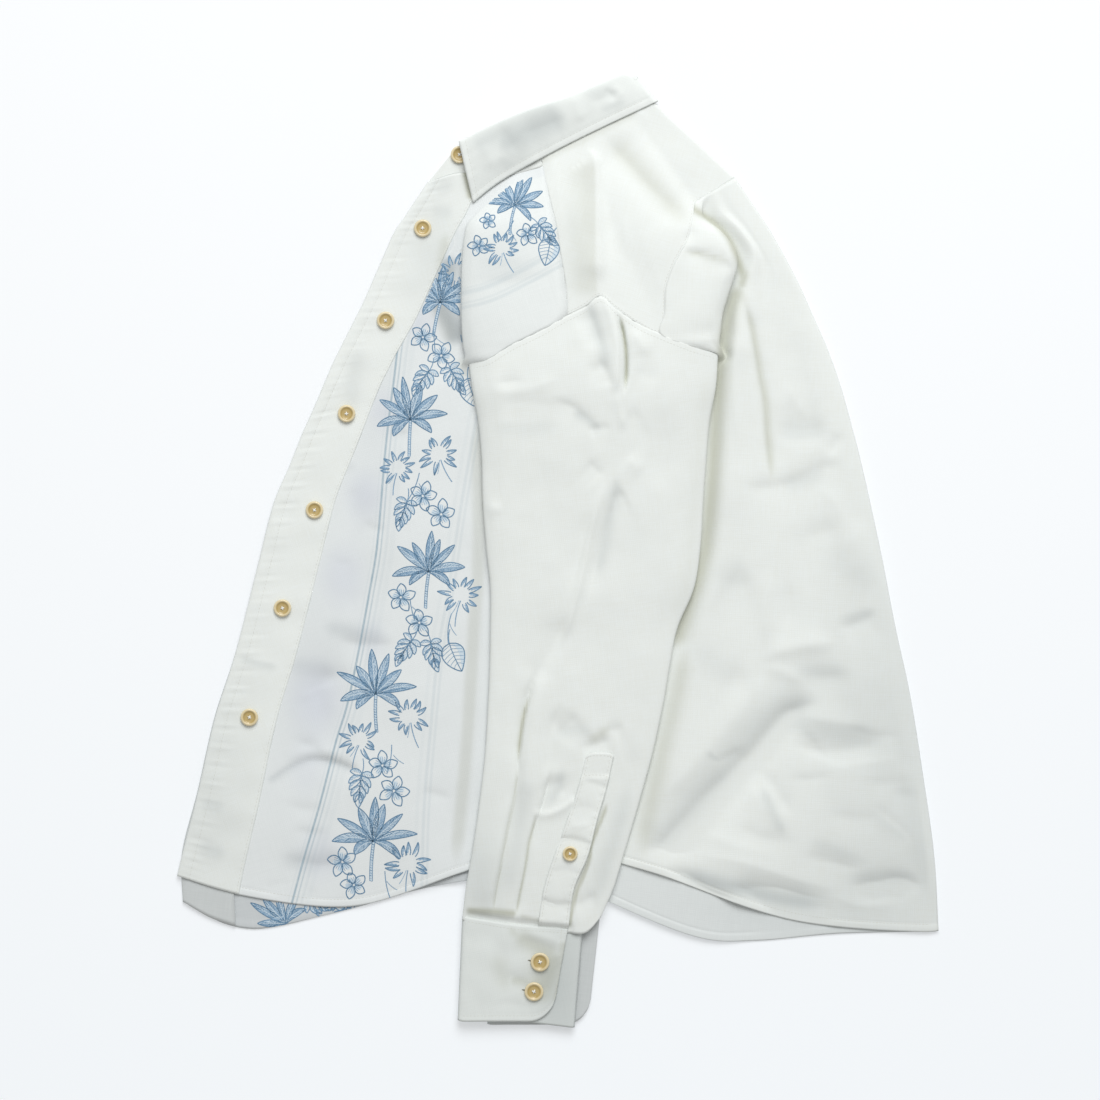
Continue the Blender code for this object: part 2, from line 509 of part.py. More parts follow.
def back_grids():
    upper = []
    for index, (start, s) in enumerate(zip(BACK_STARTS, BACK_SECTIONS)):
        row = back_half_row(start, s)
        if index == 0:
            row = [point(lerp(start.x, s.centre_x - 4, share), lerp(start.y, s.centre_y - 2.4, share),
                         lerp(start.z, 5.4, share)) for share in
                   (0.0, 0.06, 0.13, 0.2, 0.28, 0.38, 0.52, 0.68, 0.84)]
        fold = fold_points(s.centre_x, s.centre_y, 5.4, 0.6)
        over = RIGHT_OVER_SLEEVE if index > 6 else RIGHT_LEVEL
        start_x = s.centre_x - (8 if index else 0)
        start_y = s.centre_y - (4 if index else 0)
        right = [point(lerp(start_x, s.right_x, share), lerp(start_y, s.right_y, share),
                       RIGHT_LEVEL if share < 0.6 else over) for share in (0.3, 0.6, 0.8, 1.0)]
        upper.append((row, fold, right))
    lower = []
    for s, start in zip(LOWER_BACK, SIDE_SEAM):
        shares = (0.0, 0.25, 0.45, 0.65, 0.82)
        places = [(lerp(start.x, s.valley_x - 4, share), LEFT_OVER_SLEEVE) for share in shares]
        places += [(s.valley_x, LEFT_OVER_SLEEVE + 0.2), (s.ridge_x, s.ridge_z),
                   (lerp(s.ridge_x, s.centre_x - 13, 0.5), 6.4), (s.centre_x - 13, 6.4)]
        row = [point(x, section_y(x, start.x, start.y, s.centre_x, s.centre_y, LEFT_BACK_HEM, s.follow), z)
               for x, z in places]
        fold = fold_points(s.centre_x, s.centre_y, 5.4, 0.2)
        drop = lerp(start.y, -284, max(s.follow - 0.2, 0) / 0.8) if s.follow > 0.2 else start.y
        places = [(lerp(s.centre_x - 8, 175, 0.55), RIGHT_LEVEL), (172, RIGHT_LEVEL),
                  (126, RIGHT_OVER_SLEEVE), (start.x, RIGHT_OVER_SLEEVE)]
        right = [point(x, section_y(x, start.x, drop, s.centre_x, s.centre_y, RIGHT_BACK_HEM, s.follow), z)
                 for x, z in places]
        lower.append((row, fold, right))
    return upper, lower


def back(mat):
    upper, lower = back_grids()
    for index, (row, fold, right) in enumerate(upper):
        row[0].x += SEAM_GAP / 2
        row[0].y -= 0.0 if index > 6 else SEAM_GAP / 2
        if index > 6:
            row[0].y += SEAM_GAP / 2
    for p in upper[0][0] + upper[0][1]:
        p.y -= SEAM_GAP * 1.5
    for p in [upper[0][2][0], upper[0][2][1], upper[0][2][2]] + [right[-1] for row, fold, right in upper]:
        p.x += SEAM_GAP * 0.75
    for row, fold, right in lower:
        row[0].x += SEAM_GAP / 2
        right[-1].x += SEAM_GAP / 2
    lower_rows = smooth_rows([row + fold + right for row, fold, right in lower], 2)
    count = len(lower[0][0])
    turn = len(lower[0][1])
    rows = [row + fold + right for row, fold, right in upper]
    rows = rows[:6] + smooth_rows(rows[6:10], 2) + rows[10:] + lower_rows
    grid = []
    for line in rows:
        left = curve_through(line[:count], 2)
        left = with_folds([left], BODY_FOLDS, 0)[0]
        grid.append(left + line[count:count + turn] + subdivided(line[count + turn:], 2))
    for p in grid[-1][-7:]:
        p.y = height_on(RIGHT_BACK_HEM, p.x)
    cloth("back", grid, mat)


def yoke(mat):
    outer = [point(p.x, p.y + SEAM_GAP / 2, p.z) for p in ARMHOLE_SEAM[4:9]]
    outer += [point(p.x - SEAM_GAP / 2, p.y + SEAM_GAP / 2, p.z) for p in BACK_YOKE_SEAM[:-1]]
    outer.insert(-1, outer[-2].lerp(outer[-1], 0.5))
    neck = [point(p.x, p.y - SEAM_GAP / 2, p.z) for p in NECK_SEAM[FRONT_NECK_END + 1:]]
    neck_curve = curve_through(neck, 4)
    count = len(outer)
    rises = (0.0, 0.07, 0.26, 0.43, 0.6, 0.8, 0.94, 1.0)
    shares = (0.0, 0.06, 0.20, 0.31, 0.42, 0.61, 0.80, 1.0)
    columns = []
    for index, low in enumerate(outer):
        top = neck_curve[round(index * (len(neck_curve) - 1) / (count - 1))]
        if index == 0:
            column = [top] + [point(p.x + SEAM_GAP / 2, p.y + SEAM_GAP / 2, p.z) for p in FRONT_YOKE_SEAM]
        else:
            column = [point(lerp(top.x, low.x, share), lerp(top.y, low.y, share), lerp(top.z, low.z, rise))
                      for share, rise in zip(shares, rises)]
        columns.append(column)
    for column in columns[1:-1]:
        for p in column[1:-1]:
            p.z += fold_height(YOKE_FOLDS, p.x, p.y)
    end = BACK_YOKE_SEAM[-1]
    fold_columns = []
    for share in shares:
        x = lerp(NECK_CENTRE.x + 0.3, end.x - 0.2, share)
        y = lerp(NECK_CENTRE.y - 0.3, end.y + 0.4, share)
        level = RIGHT_LEVEL if share > 0.19 else 1.9
        reach = (5.2 - level) / 2
        middle = level + reach
        fold_columns.append([point(x - reach * 1.1, y - reach * 0.7, 5.2),
                             point(x - reach * 0.3, y - reach * 0.2, middle + reach * 0.75),
                             point(x, y, middle),
                             point(x - reach * 0.3, y - reach * 0.2, middle - reach * 0.75),
                             point(x - reach * 1.1, y - reach * 0.7, level)])
    right_outer = ((137.8, 293.1), (112.1, 240.1), (87.8, 190.3), (48.0, 200.0))
    right_neck = [(p.x, p.y - SEAM_GAP / 2) for p in NECK_SEAM[:FRONT_NECK_END:-1]]
    right_columns = []
    for (top_x, top_y), (low_x, low_y) in zip(right_neck, right_outer):
        right_columns.append([point(lerp(top_x, low_x, share), lerp(top_y, low_y, share),
                                    RIGHT_OVER_COLLAR if share < 0.1 else RIGHT_LEVEL) for share in shares])
    top_x, top_y = right_neck[-1]
    right_columns.append([point(top_x, top_y, RIGHT_OVER_COLLAR)] + [
        point(p.x + SEAM_GAP, p.y, RIGHT_OVER_COLLAR if p.y > 310 else RIGHT_LEVEL) for p in FRONT_YOKE_SEAM])
    rows = []
    for index in range(len(shares)):
        rows.append([column[index] for column in columns] + fold_columns[index]
                    + [column[index] for column in right_columns])
    cloth("yoke", rows, mat)


def sleeve_height(share):
    # Height of the sleeve's upper layer across it, as a share of its swell: round at both edges.
    return (1.0 - abs(2.0 * share - 1.0) ** 3.2) ** 0.6


def left_sleeve_rows():
    head = [point(p.x, p.y - SEAM_GAP / 2, p.z) for p in ARMHOLE_SEAM]
    head[0].x += CORNER_GAP
    head[-1].x -= CORNER_GAP
    head.append(point(head[-1].x - 2.1, head[-1].y - 2.2, head[-1].z - 1.6))
    head += [point(x, y, SLEEVE_LEVEL) for x, y in UNDER_HEAD]
    head.append(point(head[0].x + 2.2, head[0].y - 2.2, head[0].z - 1.3))
    rows = [head]
    for number, s in enumerate(SLEEVE_SECTIONS):
        shares = []
        blend = min(number / SLIT_TOP_SECTION, 1.0)
        for index, share in enumerate(SLEEVE_SHARES):
            if SLIT_FROM <= index <= SLIT_TO:
                slit = lerp(s.slit_1, s.slit_2, (index - SLIT_FROM) / (SLIT_TO - SLIT_FROM))
                share = lerp(share, slit, blend)
            elif index < SLIT_FROM:
                share = share * lerp(1.0, s.slit_1 / SLEEVE_SHARES[SLIT_FROM], blend)
            shares.append(share)
        row = []
        for share in shares:
            x = lerp(s.left_x, s.right_x, share)
            y = lerp(s.left_y, s.right_y, share)
            z = s.level + EDGE_RISE + (s.swell - EDGE_RISE) * sleeve_height(share)
            row.append(point(x, y, z))
        row.append(point(s.right_x - 0.6, s.right_y, s.level + 0.2))
        for index, (head_x, head_y) in enumerate(UNDER_HEAD):
            share = 1.0 - (index + 1) / (len(UNDER_HEAD) + 1)
            x = lerp(head_x, lerp(s.left_x, s.right_x, share), min(number / 5, 1.0))
            y = min(lerp(s.left_y, s.right_y, share), head_y - 7.0 * (number + 1))
            row.append(point(x, y, s.level))
        row.append(point(s.left_x + 0.6, s.left_y, s.level + 0.2))
        rows.append(row)
    return rows


def left_sleeve(mat):
    rows = left_sleeve_rows()
    top_count = len(SLEEVE_SHARES)
    for row in rows[1:]:
        for p in row[1:top_count - 1]:
            p.z = max(p.z + fold_height(SLEEVE_FOLDS, p.x, p.y), SLEEVE_LEVEL + 1.8)
    rows = smooth_rows(rows, 2)
    cloth("left_sleeve", rows, mat, ring=True)
    return rows


def left_sleeve_placket(sleeve_rows, mat):
    # Laid on the sleeve's own points between the two sides of the slit.
    first = 2 * SLIT_TOP_SECTION
    strip = [subdivided(row[SLIT_FROM:SLIT_TO + 1], 2) for row in sleeve_rows[first:]]
    cloth("left_sleeve_placket", moved_out(strip, WALL + LAYER_GAP), mat)


def right_sleeve(mat):
    rows = []
    for s in RIGHT_SLEEVE:
        top = [point(lerp(s.left_x, s.right_x, share), s.y, 2.0 if 0.0 < share < 1.0 else 1.25)
               for share in (0.0, 0.03, 0.35, 0.65, 0.97, 1.0)]
        bottom = [point(lerp(s.left_x, s.right_x, share), s.y, RIGHT_LEVEL) for share in (0.97, 0.5, 0.03)]
        rows.append(top + bottom)
    cloth("right_sleeve", rows, mat, ring=True)


def cuff_rows(stations, rounded_end):
    # A band laid in three layers. Each station has its place, level, top and bottom, and the
    # bottom corner at the overlapping end is round.
    rows = []
    for share in (0.0, 0.3, 0.6, 0.8, 1.0):
        row = []
        for x, z, top_y, bottom_y, lean, to_end in stations:
            low = bottom_y
            if rounded_end and to_end < CUFF_CORNER:
                inside = CUFF_CORNER - to_end
                low += CUFF_CORNER - math.sqrt(max(CUFF_CORNER ** 2 - inside ** 2, 0.0))
            y = lerp(top_y, low, share)
            row.append(point(x - lean * (top_y - y) / (top_y - bottom_y), y, z))
        rows.append(row)
    return rows


def left_cuff(mat):
    base = 5.2
    levels = (base, base + 1.8, base + 3.6)
    stations = []
    for x in (8.9, 7.5, 3.5, -3.0, -12.0, -36.0, -60.0, -78.0):
        top_y = -315.4 - (x + 82) * 0.152
        stations.append((x, levels[2], top_y, -406.0, 14.0 * (x + 82) / 90 + 4.0 * (9 - x) / 90, 8.9 - x))
    stations.append((-81.5, levels[2] - 1.2, -315.4, -405.2, 4.0, 99.0))
    stations.append((-82.2, lerp(levels[0], levels[2], 0.5), -315.3, -404.8, 4.0, 99.0))
    stations.append((-81.5, levels[0] + 1.2, -315.4, -405.2, 4.0, 99.0))
    for x in (-78.0, -50.0, -20.0, 10.0, 19.5):
        top_y = -315.4 - (x + 82) * 0.152
        bottom_y = -405.5 if x < -30 else -405.5 - 6.0 * (x + 30) / 50
        stations.append((x, levels[0], top_y, bottom_y, 4.0 + 3.0 * (x + 78) / 98, 99.0))
    stations.append((21.3, lerp(levels[0], levels[1], 0.5), -331.0, -411.5, 7.0, 99.0))
    for x in (19.5, 8.0, -10.0, -24.0):
        top_y = -315.4 - (x + 82) * 0.152
        stations.append((x, levels[1], top_y, -411.5 + (19.5 - x) * 0.12, 7.0, 99.0))
    cloth("left_cuff", cuff_rows(stations, True), mat, wall=COLLAR_WALL)


def right_cuff(mat):
    levels = (0.6, 2.4, 4.2)
    stations = []
    for x in (36.5, 35.0, 31.0, 24.5, 15.0, -10.0, -40.0, -58.0):
        stations.append((x, levels[1], -318.0, -409.5, 10.0 * (x + 62) / 98, 36.5 - x))
    stations.append((-60.6, 1.5, -318.0, -409.0, 0.0, 99.0))
    for x in (-58.0, -20.0, 12.0, 25.0, 34.0):
        to_end = 36.5 - x
        stations.append((x, levels[0], -318.0, -409.5, 10.0 * (x + 62) / 98, to_end))
    cloth("right_cuff", cuff_rows(stations, True), mat, wall=COLLAR_WALL)


def collar_leaf(mat):
    shares = (0.0, 0.25, 0.5, 0.75, 1.0)
    crown = (0.0, 0.8, 1.0, 0.6, 0.0)
    rows = []
    for share, rise in zip(shares, crown):
        row = [point(lerp(s.top_x, s.out_x, share), lerp(s.top_y, s.out_y, share),
                     lerp(s.top_z, s.out_z, share) + rise) for s in COLLAR_SECTIONS]
        row = curve_through(row, 2)
        c = COLLAR_CENTRE
        x = lerp(c.top_x, c.out_x, share)
        y = lerp(c.top_y, c.out_y, share)
        row += [point(x - 3.6, y - 1.6, 7.0), point(x - 1.0, y - 0.4, 5.6), point(x, y, 3.7),
                point(x - 1.0, y - 0.4, 1.8), point(x - 3.6, y - 1.6, 0.6)]
        row += [point(lerp(s.top_x, s.out_x, share), lerp(s.top_y, s.out_y, share), 0.6)
                for s in COLLAR_SECTIONS[::-1]]
        rows.append(row)
    cloth("collar_leaf", rows, mat, wall=COLLAR_WALL)


def collar_stand(mat):
    # From its button end at the front to the centre back, and back along the right half.
    split = FRONT_NECK_END + 1
    tops = [point(x, y, 4.3 if x > -80 else 3.9) for x, y in STAND_TOP]
    tops = curve_through(tops[:split], 2) + curve_through(tops[split:], 2)
    lows = [point(p.x, p.y + SEAM_GAP, p.z) for p in NECK_SEAM]
    lows[split].x -= SEAM_GAP * 1.5
    lows = curve_through(lows[:split], 2) + curve_through(lows[split:], 2)
    rows = []
    for share in (0.0, 0.35, 0.7, 1.0):
        row = [point(lerp(top.x, low.x, share), lerp(top.y, low.y, share), lerp(top.z, low.z, share ** 2))
               for top, low in zip(tops, lows)]
        x = lerp(STAND_CENTRE[0], NECK_CENTRE.x - 0.3, share)
        y = lerp(STAND_CENTRE[1], NECK_CENTRE.y + 0.4, share)
        row += [point(x - 1.6, y - 0.8, 4.6), point(x, y, 3.4), point(x - 1.6, y - 0.8, 2.2)]
        row += [point(lerp(top.x, low.x, share) + 0.5, lerp(top.y, low.y, share), 2.2)
                for top, low in list(zip(tops, lows))[::-1]]
        rows.append(row)
    cloth("collar_stand", rows, mat)


def button(spec, mat, level):
    # A turned disc with a raised rim and a dished middle.
    radius = spec.diameter / 2
    profile = ((0.0, 0.0), (radius * 0.72, 0.0), (radius, BUTTON_THICKNESS * 0.45),
               (radius * 0.94, BUTTON_THICKNESS * 0.9), (radius * 0.78, BUTTON_THICKNESS),
               (radius * 0.55, BUTTON_THICKNESS * 0.6), (0.0, BUTTON_THICKNESS * 0.5))
    sides = 14
    points = [point(0.0, 0.0, profile[0][1])]
    for r, z in profile[1:-1]:
        points += [point(r * math.cos(2 * math.pi * k / sides), r * math.sin(2 * math.pi * k / sides), z)
                   for k in range(sides)]
    points.append(point(0.0, 0.0, profile[-1][1]))
    faces = []
    rings = len(profile) - 2
    for k in range(sides):
        after = (k + 1) % sides
        faces.append((0, 1 + after, 1 + k))
        for ring in range(rings - 1):
            a = 1 + ring * sides
            b = a + sides
            faces.append((a + k, a + after, b + after, b + k))
        top = 1 + (rings - 1) * sides
        faces.append((top + k, top + after, len(points) - 1))
    obj = mesh_object(spec.name, points, faces, mat)
    obj.location = point(spec.x, spec.y, level) * MM
    return obj


def top_of(name, x, y):
    # Height of the upper side of a piece above a place, in millimetres.
    obj = bpy.data.objects[name]
    found = obj.evaluated_get(bpy.context.evaluated_depsgraph_get())
    hit, place, _, _ = found.ray_cast(Vector((x * MM, y * MM, 1.0)), Vector((0.0, 0.0, -1.0)))
    return place.z / MM if hit else 0.0


def buttons(mat):
    bpy.context.view_layer.update()
    for spec in BUTTONS:
        around = [top_of(spec.under, spec.x + dx * spec.diameter * 0.5, spec.y + dy * spec.diameter * 0.5)
                  for dx in (-1.0, 0.0, 1.0) for dy in (-1.0, 0.0, 1.0)]
        button(spec, mat, max(around) + SEAM_GAP)


def clear_scene():
    for obj in list(bpy.data.objects):
        bpy.data.objects.remove(obj, do_unlink=True)


def centre_on_origin():
    # The origin is the middle of the space the shirt takes up, at the floor.
    bpy.context.view_layer.update()
    graph = bpy.context.evaluated_depsgraph_get()
    corners = []
    for obj in bpy.data.objects:
        mesh = obj.evaluated_get(graph).data
        corners += [obj.matrix_world @ vertex.co for vertex in mesh.vertices]
    middle = [(min(c[axis] for c in corners) + max(c[axis] for c in corners)) / 2 for axis in (0, 1)]
    floor = min(c.z for c in corners)
    for obj in bpy.data.objects:
        obj.location -= Vector((middle[0], middle[1], floor))


def main():
    clear_scene()
    plain = {}
    for name in ("back", "yoke", "collar_leaf", "collar_stand", "left_sleeve", "right_sleeve",
                 "left_cuff", "right_cuff", "left_sleeve_placket", "left_front_placket",
                 "right_front_placket"):
        plain[name] = material(name + "_cloth", CLOTH_COLOUR, 0.85)
    front_grid = left_front(material("left_front_cloth", PRINTED_COLOUR, 0.85))
    left_front_placket(front_grid, plain["left_front_placket"])
    right_front_placket(plain["right_front_placket"])
    right_front(material("right_front_cloth", PRINTED_COLOUR, 0.85))
    back(plain["back"])
    yoke(plain["yoke"])
    sleeve_rows = left_sleeve(plain["left_sleeve"])
    left_sleeve_placket(sleeve_rows, plain["left_sleeve_placket"])
    right_sleeve(plain["right_sleeve"])
    left_cuff(plain["left_cuff"])
    right_cuff(plain["right_cuff"])
    collar_leaf(plain["collar_leaf"])
    collar_stand(plain["collar_stand"])
    buttons(material("button_shell", BUTTON_COLOUR, 0.35))
    centre_on_origin()


main()
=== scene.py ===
# Aloha shirt, long-sleeved and buttoned: folded in half and laid on its right side, with the left
# sleeve pulled down over the body. Tables are in millimetres in the maker's own layout, with x
# across from the front edge to the centre back and y up from hem to neck. Heights are those of the
# middle of the cloth.
import math

import bpy
import numpy as np
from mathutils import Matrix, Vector
from mathutils.bvhtree import BVHTree


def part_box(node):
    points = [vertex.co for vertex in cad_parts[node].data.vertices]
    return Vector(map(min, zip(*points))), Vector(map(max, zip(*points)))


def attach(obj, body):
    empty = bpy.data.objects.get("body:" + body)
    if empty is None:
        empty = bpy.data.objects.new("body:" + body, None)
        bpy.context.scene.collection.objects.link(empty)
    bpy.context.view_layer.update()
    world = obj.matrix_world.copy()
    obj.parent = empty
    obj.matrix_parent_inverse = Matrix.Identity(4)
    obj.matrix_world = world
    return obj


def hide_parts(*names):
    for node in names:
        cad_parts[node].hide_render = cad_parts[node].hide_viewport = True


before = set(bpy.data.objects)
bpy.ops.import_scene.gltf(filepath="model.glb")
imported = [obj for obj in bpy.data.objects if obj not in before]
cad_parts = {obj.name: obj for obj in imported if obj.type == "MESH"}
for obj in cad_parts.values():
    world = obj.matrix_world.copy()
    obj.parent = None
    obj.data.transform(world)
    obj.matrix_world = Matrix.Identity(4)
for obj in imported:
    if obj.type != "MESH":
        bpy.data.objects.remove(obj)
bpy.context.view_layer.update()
print("frame loaded")

mm = 0.001

# A button whose place in the layout is known gives the shift from the layout to the frame
layoutMark = {"node": "front_button_3", "x": -149.2, "y": 202.3}
markLow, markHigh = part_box(layoutMark["node"])
shift = np.array([(markLow.x + markHigh.x) / 2 - layoutMark["x"] * mm,
                  (markLow.y + markHigh.y) / 2 - layoutMark["y"] * mm, 0.0])

cloth = {"thickness": 0.75, "bandThickness": 1.0, "seamGap": -0.5, "hiddenCell": 9.0}
levels = {"right": 0.5, "rightOverCollar": 2.4, "rightOverSleeve": 3.3, "left": 3.7,
          "leftOverSleeve": 5.2, "sleeve": 6.8}


def lerp(a, b, share):
    return a + (b - a) * share


def smoothStep(share):
    share = np.clip(share, 0.0, 1.0)
    return share * share * (3.0 - 2.0 * share)


def knotStep(a, b):
    return np.maximum(np.sqrt(np.linalg.norm(b - a, axis=-1)), 1e-3)[..., None]


def smoothCurve(stops, counts, closed=False):
    # A smooth curve through stations, many curves at once, with one number of steps or one for each gap
    stops = np.asarray(stops, float)
    if isinstance(counts, int):
        counts = [counts] * (len(stops) - 1)
    if closed:
        ends = np.concatenate([stops[-1:], stops, stops[:2]])
    else:
        ends = np.concatenate([2 * stops[:1] - stops[1:2], stops, 2 * stops[-1:] - stops[-2:-1]])
    runs = []
    for i, count in enumerate(counts):
        a, b, c, d = ends[i:i + 4]
        k1 = knotStep(a, b)
        k2 = k1 + knotStep(b, c)
        k3 = k2 + knotStep(c, d)
        t = k1 + (k2 - k1) * (np.arange(count) / count).reshape((-1,) + (1,) * k1.ndim)
        ab = lerp(a, b, t / k1)
        bc = lerp(b, c, (t - k1) / (k2 - k1))
        cd = lerp(c, d, (t - k2) / (k3 - k2))
        abc = lerp(ab, bc, t / k2)
        bcd = lerp(bc, cd, (t - k1) / (k3 - k1))
        runs.append(lerp(abc, bcd, (t - k1) / (k2 - k1)))
    if not closed:
        runs.append(stops[-1:])
    return np.concatenate(runs)


def gapCounts(stations, cell, closed=False):
    after = np.roll(stations, -1, axis=0) if closed else stations[1:]
    before = stations if closed else stations[:-1]
    reach = np.percentile(np.linalg.norm(after - before, axis=2), 85, axis=1)
    return [max(1, int(round(r / c))) for r, c in zip(reach, cell)]


def fineGrid(rows, across, down, hidden=(), fine=(), fineRows=(), ring=False, fineCell=1.2):
    # More rows and columns on smooth curves. Hidden gaps stay coarse, and the fine ones are close. It
    # also gives each point's place across and down, counted in the stations it was made from.
    grid = np.asarray(rows, float)
    columns = np.swapaxes(grid, 0, 1)
    count = len(columns) if ring else len(columns) - 1
    cells = [cloth["hiddenCell"] if i in hidden else fineCell if i in fine else across
             for i in range(count)]
    counts = gapCounts(columns, cells, ring)
    places = np.concatenate([i + np.arange(n) / n for i, n in enumerate(counts)])
    if not ring:
        places = np.append(places, float(count))
    grid = np.swapaxes(smoothCurve(columns, counts, ring), 0, 1)
    cells = [fineCell if i in fineRows else down for i in range(len(grid) - 1)]
    counts = gapCounts(grid, cells)
    rowPlaces = np.append(np.concatenate([i + np.arange(n) / n for i, n in enumerate(counts)]),
                          float(len(grid) - 1))
    grid = smoothCurve(grid, counts)
    return grid, np.broadcast_to(places, grid.shape[:2]), np.broadcast_to(rowPlaces[:, None], grid.shape[:2])


def besidePath(spots, path):
    # For each spot: how far it is from a path, on which side, and how far along it as a share
    lengths = np.linalg.norm(np.diff(path, axis=0), axis=1)
    total = lengths.sum()
    best = np.full(len(spots), 1e9)
    along = np.zeros(len(spots))
    side = np.zeros(len(spots))
    done = 0.0
    for start, end, length in zip(path, path[1:], lengths):
        direction = (end - start) / length
        rel = spots - start
        t = np.clip(rel @ direction, 0.0, length)
        away = rel - t[:, None] * direction
        distance = np.linalg.norm(away, axis=1)
        closer = distance < best
        best = np.where(closer, distance, best)
        along = np.where(closer, (done + t) / total, along)
        turn = direction[0] * rel[:, 1] - direction[1] * rel[:, 0]
        side = np.where(closer, turn, side)
        done += length
    return best, side, along, total


creaseLook = {"height": 0.95, "sharp": 0.74, "lowerWall": 1.0}


def ridge(grid, path, width, other=None, sharp=2.0, fade=0.3, widen=0.0):
    # How near each point of a grid is to a path, from 1 on it to 0, narrowing to its ends. It has one
    # width on the left of the path and may have another on its right, and a low sharpness gives it a
    # pointed crest.
    path = np.reshape(path, (-1, 2)).astype(float)
    if len(path) > 2:
        path = smoothCurve(path, 6)
    other = width if other is None else other
    margin = 6.0 * max(width, other)
    xy = grid[..., :2]
    near = ((xy > path.min(axis=0) - margin) & (xy < path.max(axis=0) + margin)).all(axis=-1)
    result = np.zeros(near.shape)
    if not near.any():
        return result
    best, side, along, total = besidePath(xy[near], path)
    other = other * (1.0 + widen * abs(path[-1][0] - path[0][0]) / total)
    taper = smoothStep(along / fade) * smoothStep((1.0 - along) / fade)
    reach = np.where(side > 0, width, other) * (0.55 + 0.45 * taper)
    result[near] = taper * np.exp(-(best / reach) ** sharp)
    return result


def crease(grid, path, height, width, other=None, sharp=1.9, fade=0.4):
    # A soft ridge or trough. A trough that runs across has a wider wall on its right.
    widen = creaseLook["lowerWall"] if height < 0 else 0.0
    return height * creaseLook["height"] * ridge(grid, path, width, other, sharp * creaseLook["sharp"],
                                                 fade, widen)


def press(grid, creases, share=1.0):
    # Presses a table of creases into a sheet
    for row in creases:
        grid[..., 2] += share * crease(grid, *row)


def undulation(xy, size, seed):
    # Gentle unevenness of laid cloth, with a spread of one
    maker = np.random.default_rng(seed)
    total = np.zeros(xy.shape[:-1])
    waves = 14
    for _ in range(waves):
        angle = maker.uniform(0.0, 2.0 * math.pi)
        rate = 2.0 * math.pi / size * maker.uniform(0.55, 1.6)
        phase = maker.uniform(0.0, 2.0 * math.pi)
        total += np.sin(rate * (xy[..., 0] * math.cos(angle) + xy[..., 1] * math.sin(angle)) + phase)
    return total / math.sqrt(waves / 2.0)


def alongLine(line):
    # How far along a line each of its points lies
    return np.concatenate([[0.0], np.cumsum(np.linalg.norm(np.diff(line, axis=0), axis=1))])


def seenFrom(grid, side):
    # The same grid with one of its edges as the first row
    turned = grid if side in ("top", "bottom") else np.swapaxes(grid, 0, 1)
    return turned if side in ("top", "left") else turned[::-1]


def edgeDistance(grid, side):
    # How far each point of a grid lies from one of its edges, along the cloth
    far = np.zeros(grid.shape[:2])
    steps = np.linalg.norm(np.diff(seenFrom(grid, side), axis=0), axis=2)
    seenFrom(far, side)[1:] = np.cumsum(steps, axis=0)
    return far


def alongDistance(grid, side):
    # How far along that edge each point's row or column starts
    far = np.zeros(grid.shape[:2])
    seenFrom(far, side)[:] = alongLine(seenFrom(grid, side)[0])
    return far


def pointsAt(line, far, stops):
    return np.stack([np.interp(stops, far, line[:, axis]) for axis in range(line.shape[1])], axis=-1)


def railAt(grid, side, distance):
    # The line on a grid that runs at a distance from one of its edges
    far, lines = seenFrom(edgeDistance(grid, side), side), seenFrom(grid, side)
    return np.array([pointsAt(lines[:, i], far[:, i], distance) for i in range(lines.shape[1])])


def puckers(along, seed, spacing):
    # Uneven ripples that sewing draws across a seam
    maker = np.random.default_rng(seed)
    total = np.zeros(along.shape)
    for rate, size in ((1.0, 0.55), (1.37, 0.35), (0.61, 0.35), (2.3, 0.2)):
        total += size * np.sin(2.0 * math.pi * rate * along / spacing + maker.uniform(0, 6.28))
    return total


# A stitched hem: how far it rises beyond the stitches and how softly, the groove's width, how far the
# puckers spread for its width, and how its outer edge rounds off
hemLook = {"beyond": 1.2, "soft": 2.2, "groove": 1.1, "spread": 0.9, "edgeDrop": 0.8, "edge": 0.9}
gatherLook = {"spacing": 13.0, "reach": 9.0}


def sewEdge(grid, side, hemWidth, rise, groove, ripple, seed, spacing=8.0, mask=1.0):
    # A folded, stitched edge: thicker cloth to the stitch line, a groove there, and puckers
    far = edgeDistance(grid, side)
    lift = rise * smoothStep((hemWidth + hemLook["beyond"] - far) / hemLook["soft"])
    lift -= groove * np.exp(-((far - hemWidth) / hemLook["groove"]) ** 2)
    wave = puckers(alongDistance(grid, side), seed, spacing)
    lift += ripple * wave * np.exp(-((far - hemWidth) / (hemWidth * hemLook["spread"])) ** 2)
    lift -= rise * hemLook["edgeDrop"] * np.exp(-(far / hemLook["edge"]) ** 2)
    grid[..., 2] += lift * mask


def sinkEdge(grid, side, depth, width, ripple, seed=1, mask=1.0):
    # Cloth that dips into a seam at its edge, with soft gathers running away from it
    far = edgeDistance(grid, side)
    lift = -depth * np.exp(-(far / width) ** 2)
    gathers = puckers(alongDistance(grid, side), seed, gatherLook["spacing"])
    lift += ripple * gathers * np.exp(-(far / gatherLook["reach"]) ** 1.5)
    grid[..., 2] += lift * mask


def normalsOf(grid):
    down = np.gradient(grid, axis=0)
    across = np.gradient(grid, axis=1)
    normal = np.cross(down, across)
    return normal / np.maximum(np.linalg.norm(normal, axis=2, keepdims=True), 1e-9)


pieces = {}


def newObject(name, data):
    made = bpy.data.objects.new(name, data)
    bpy.context.scene.collection.objects.link(made)
    return made


def meshPiece(name, points, faces, material, node=None):
    mesh = bpy.data.meshes.new(name)
    mesh.from_pydata(points, [], faces)
    mesh.materials.append(material)
    mesh.shade_smooth()
    piece = newObject(name, mesh)
    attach(piece, "root")
    if node:
        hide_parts(node)
    pieces[name] = piece
    return piece


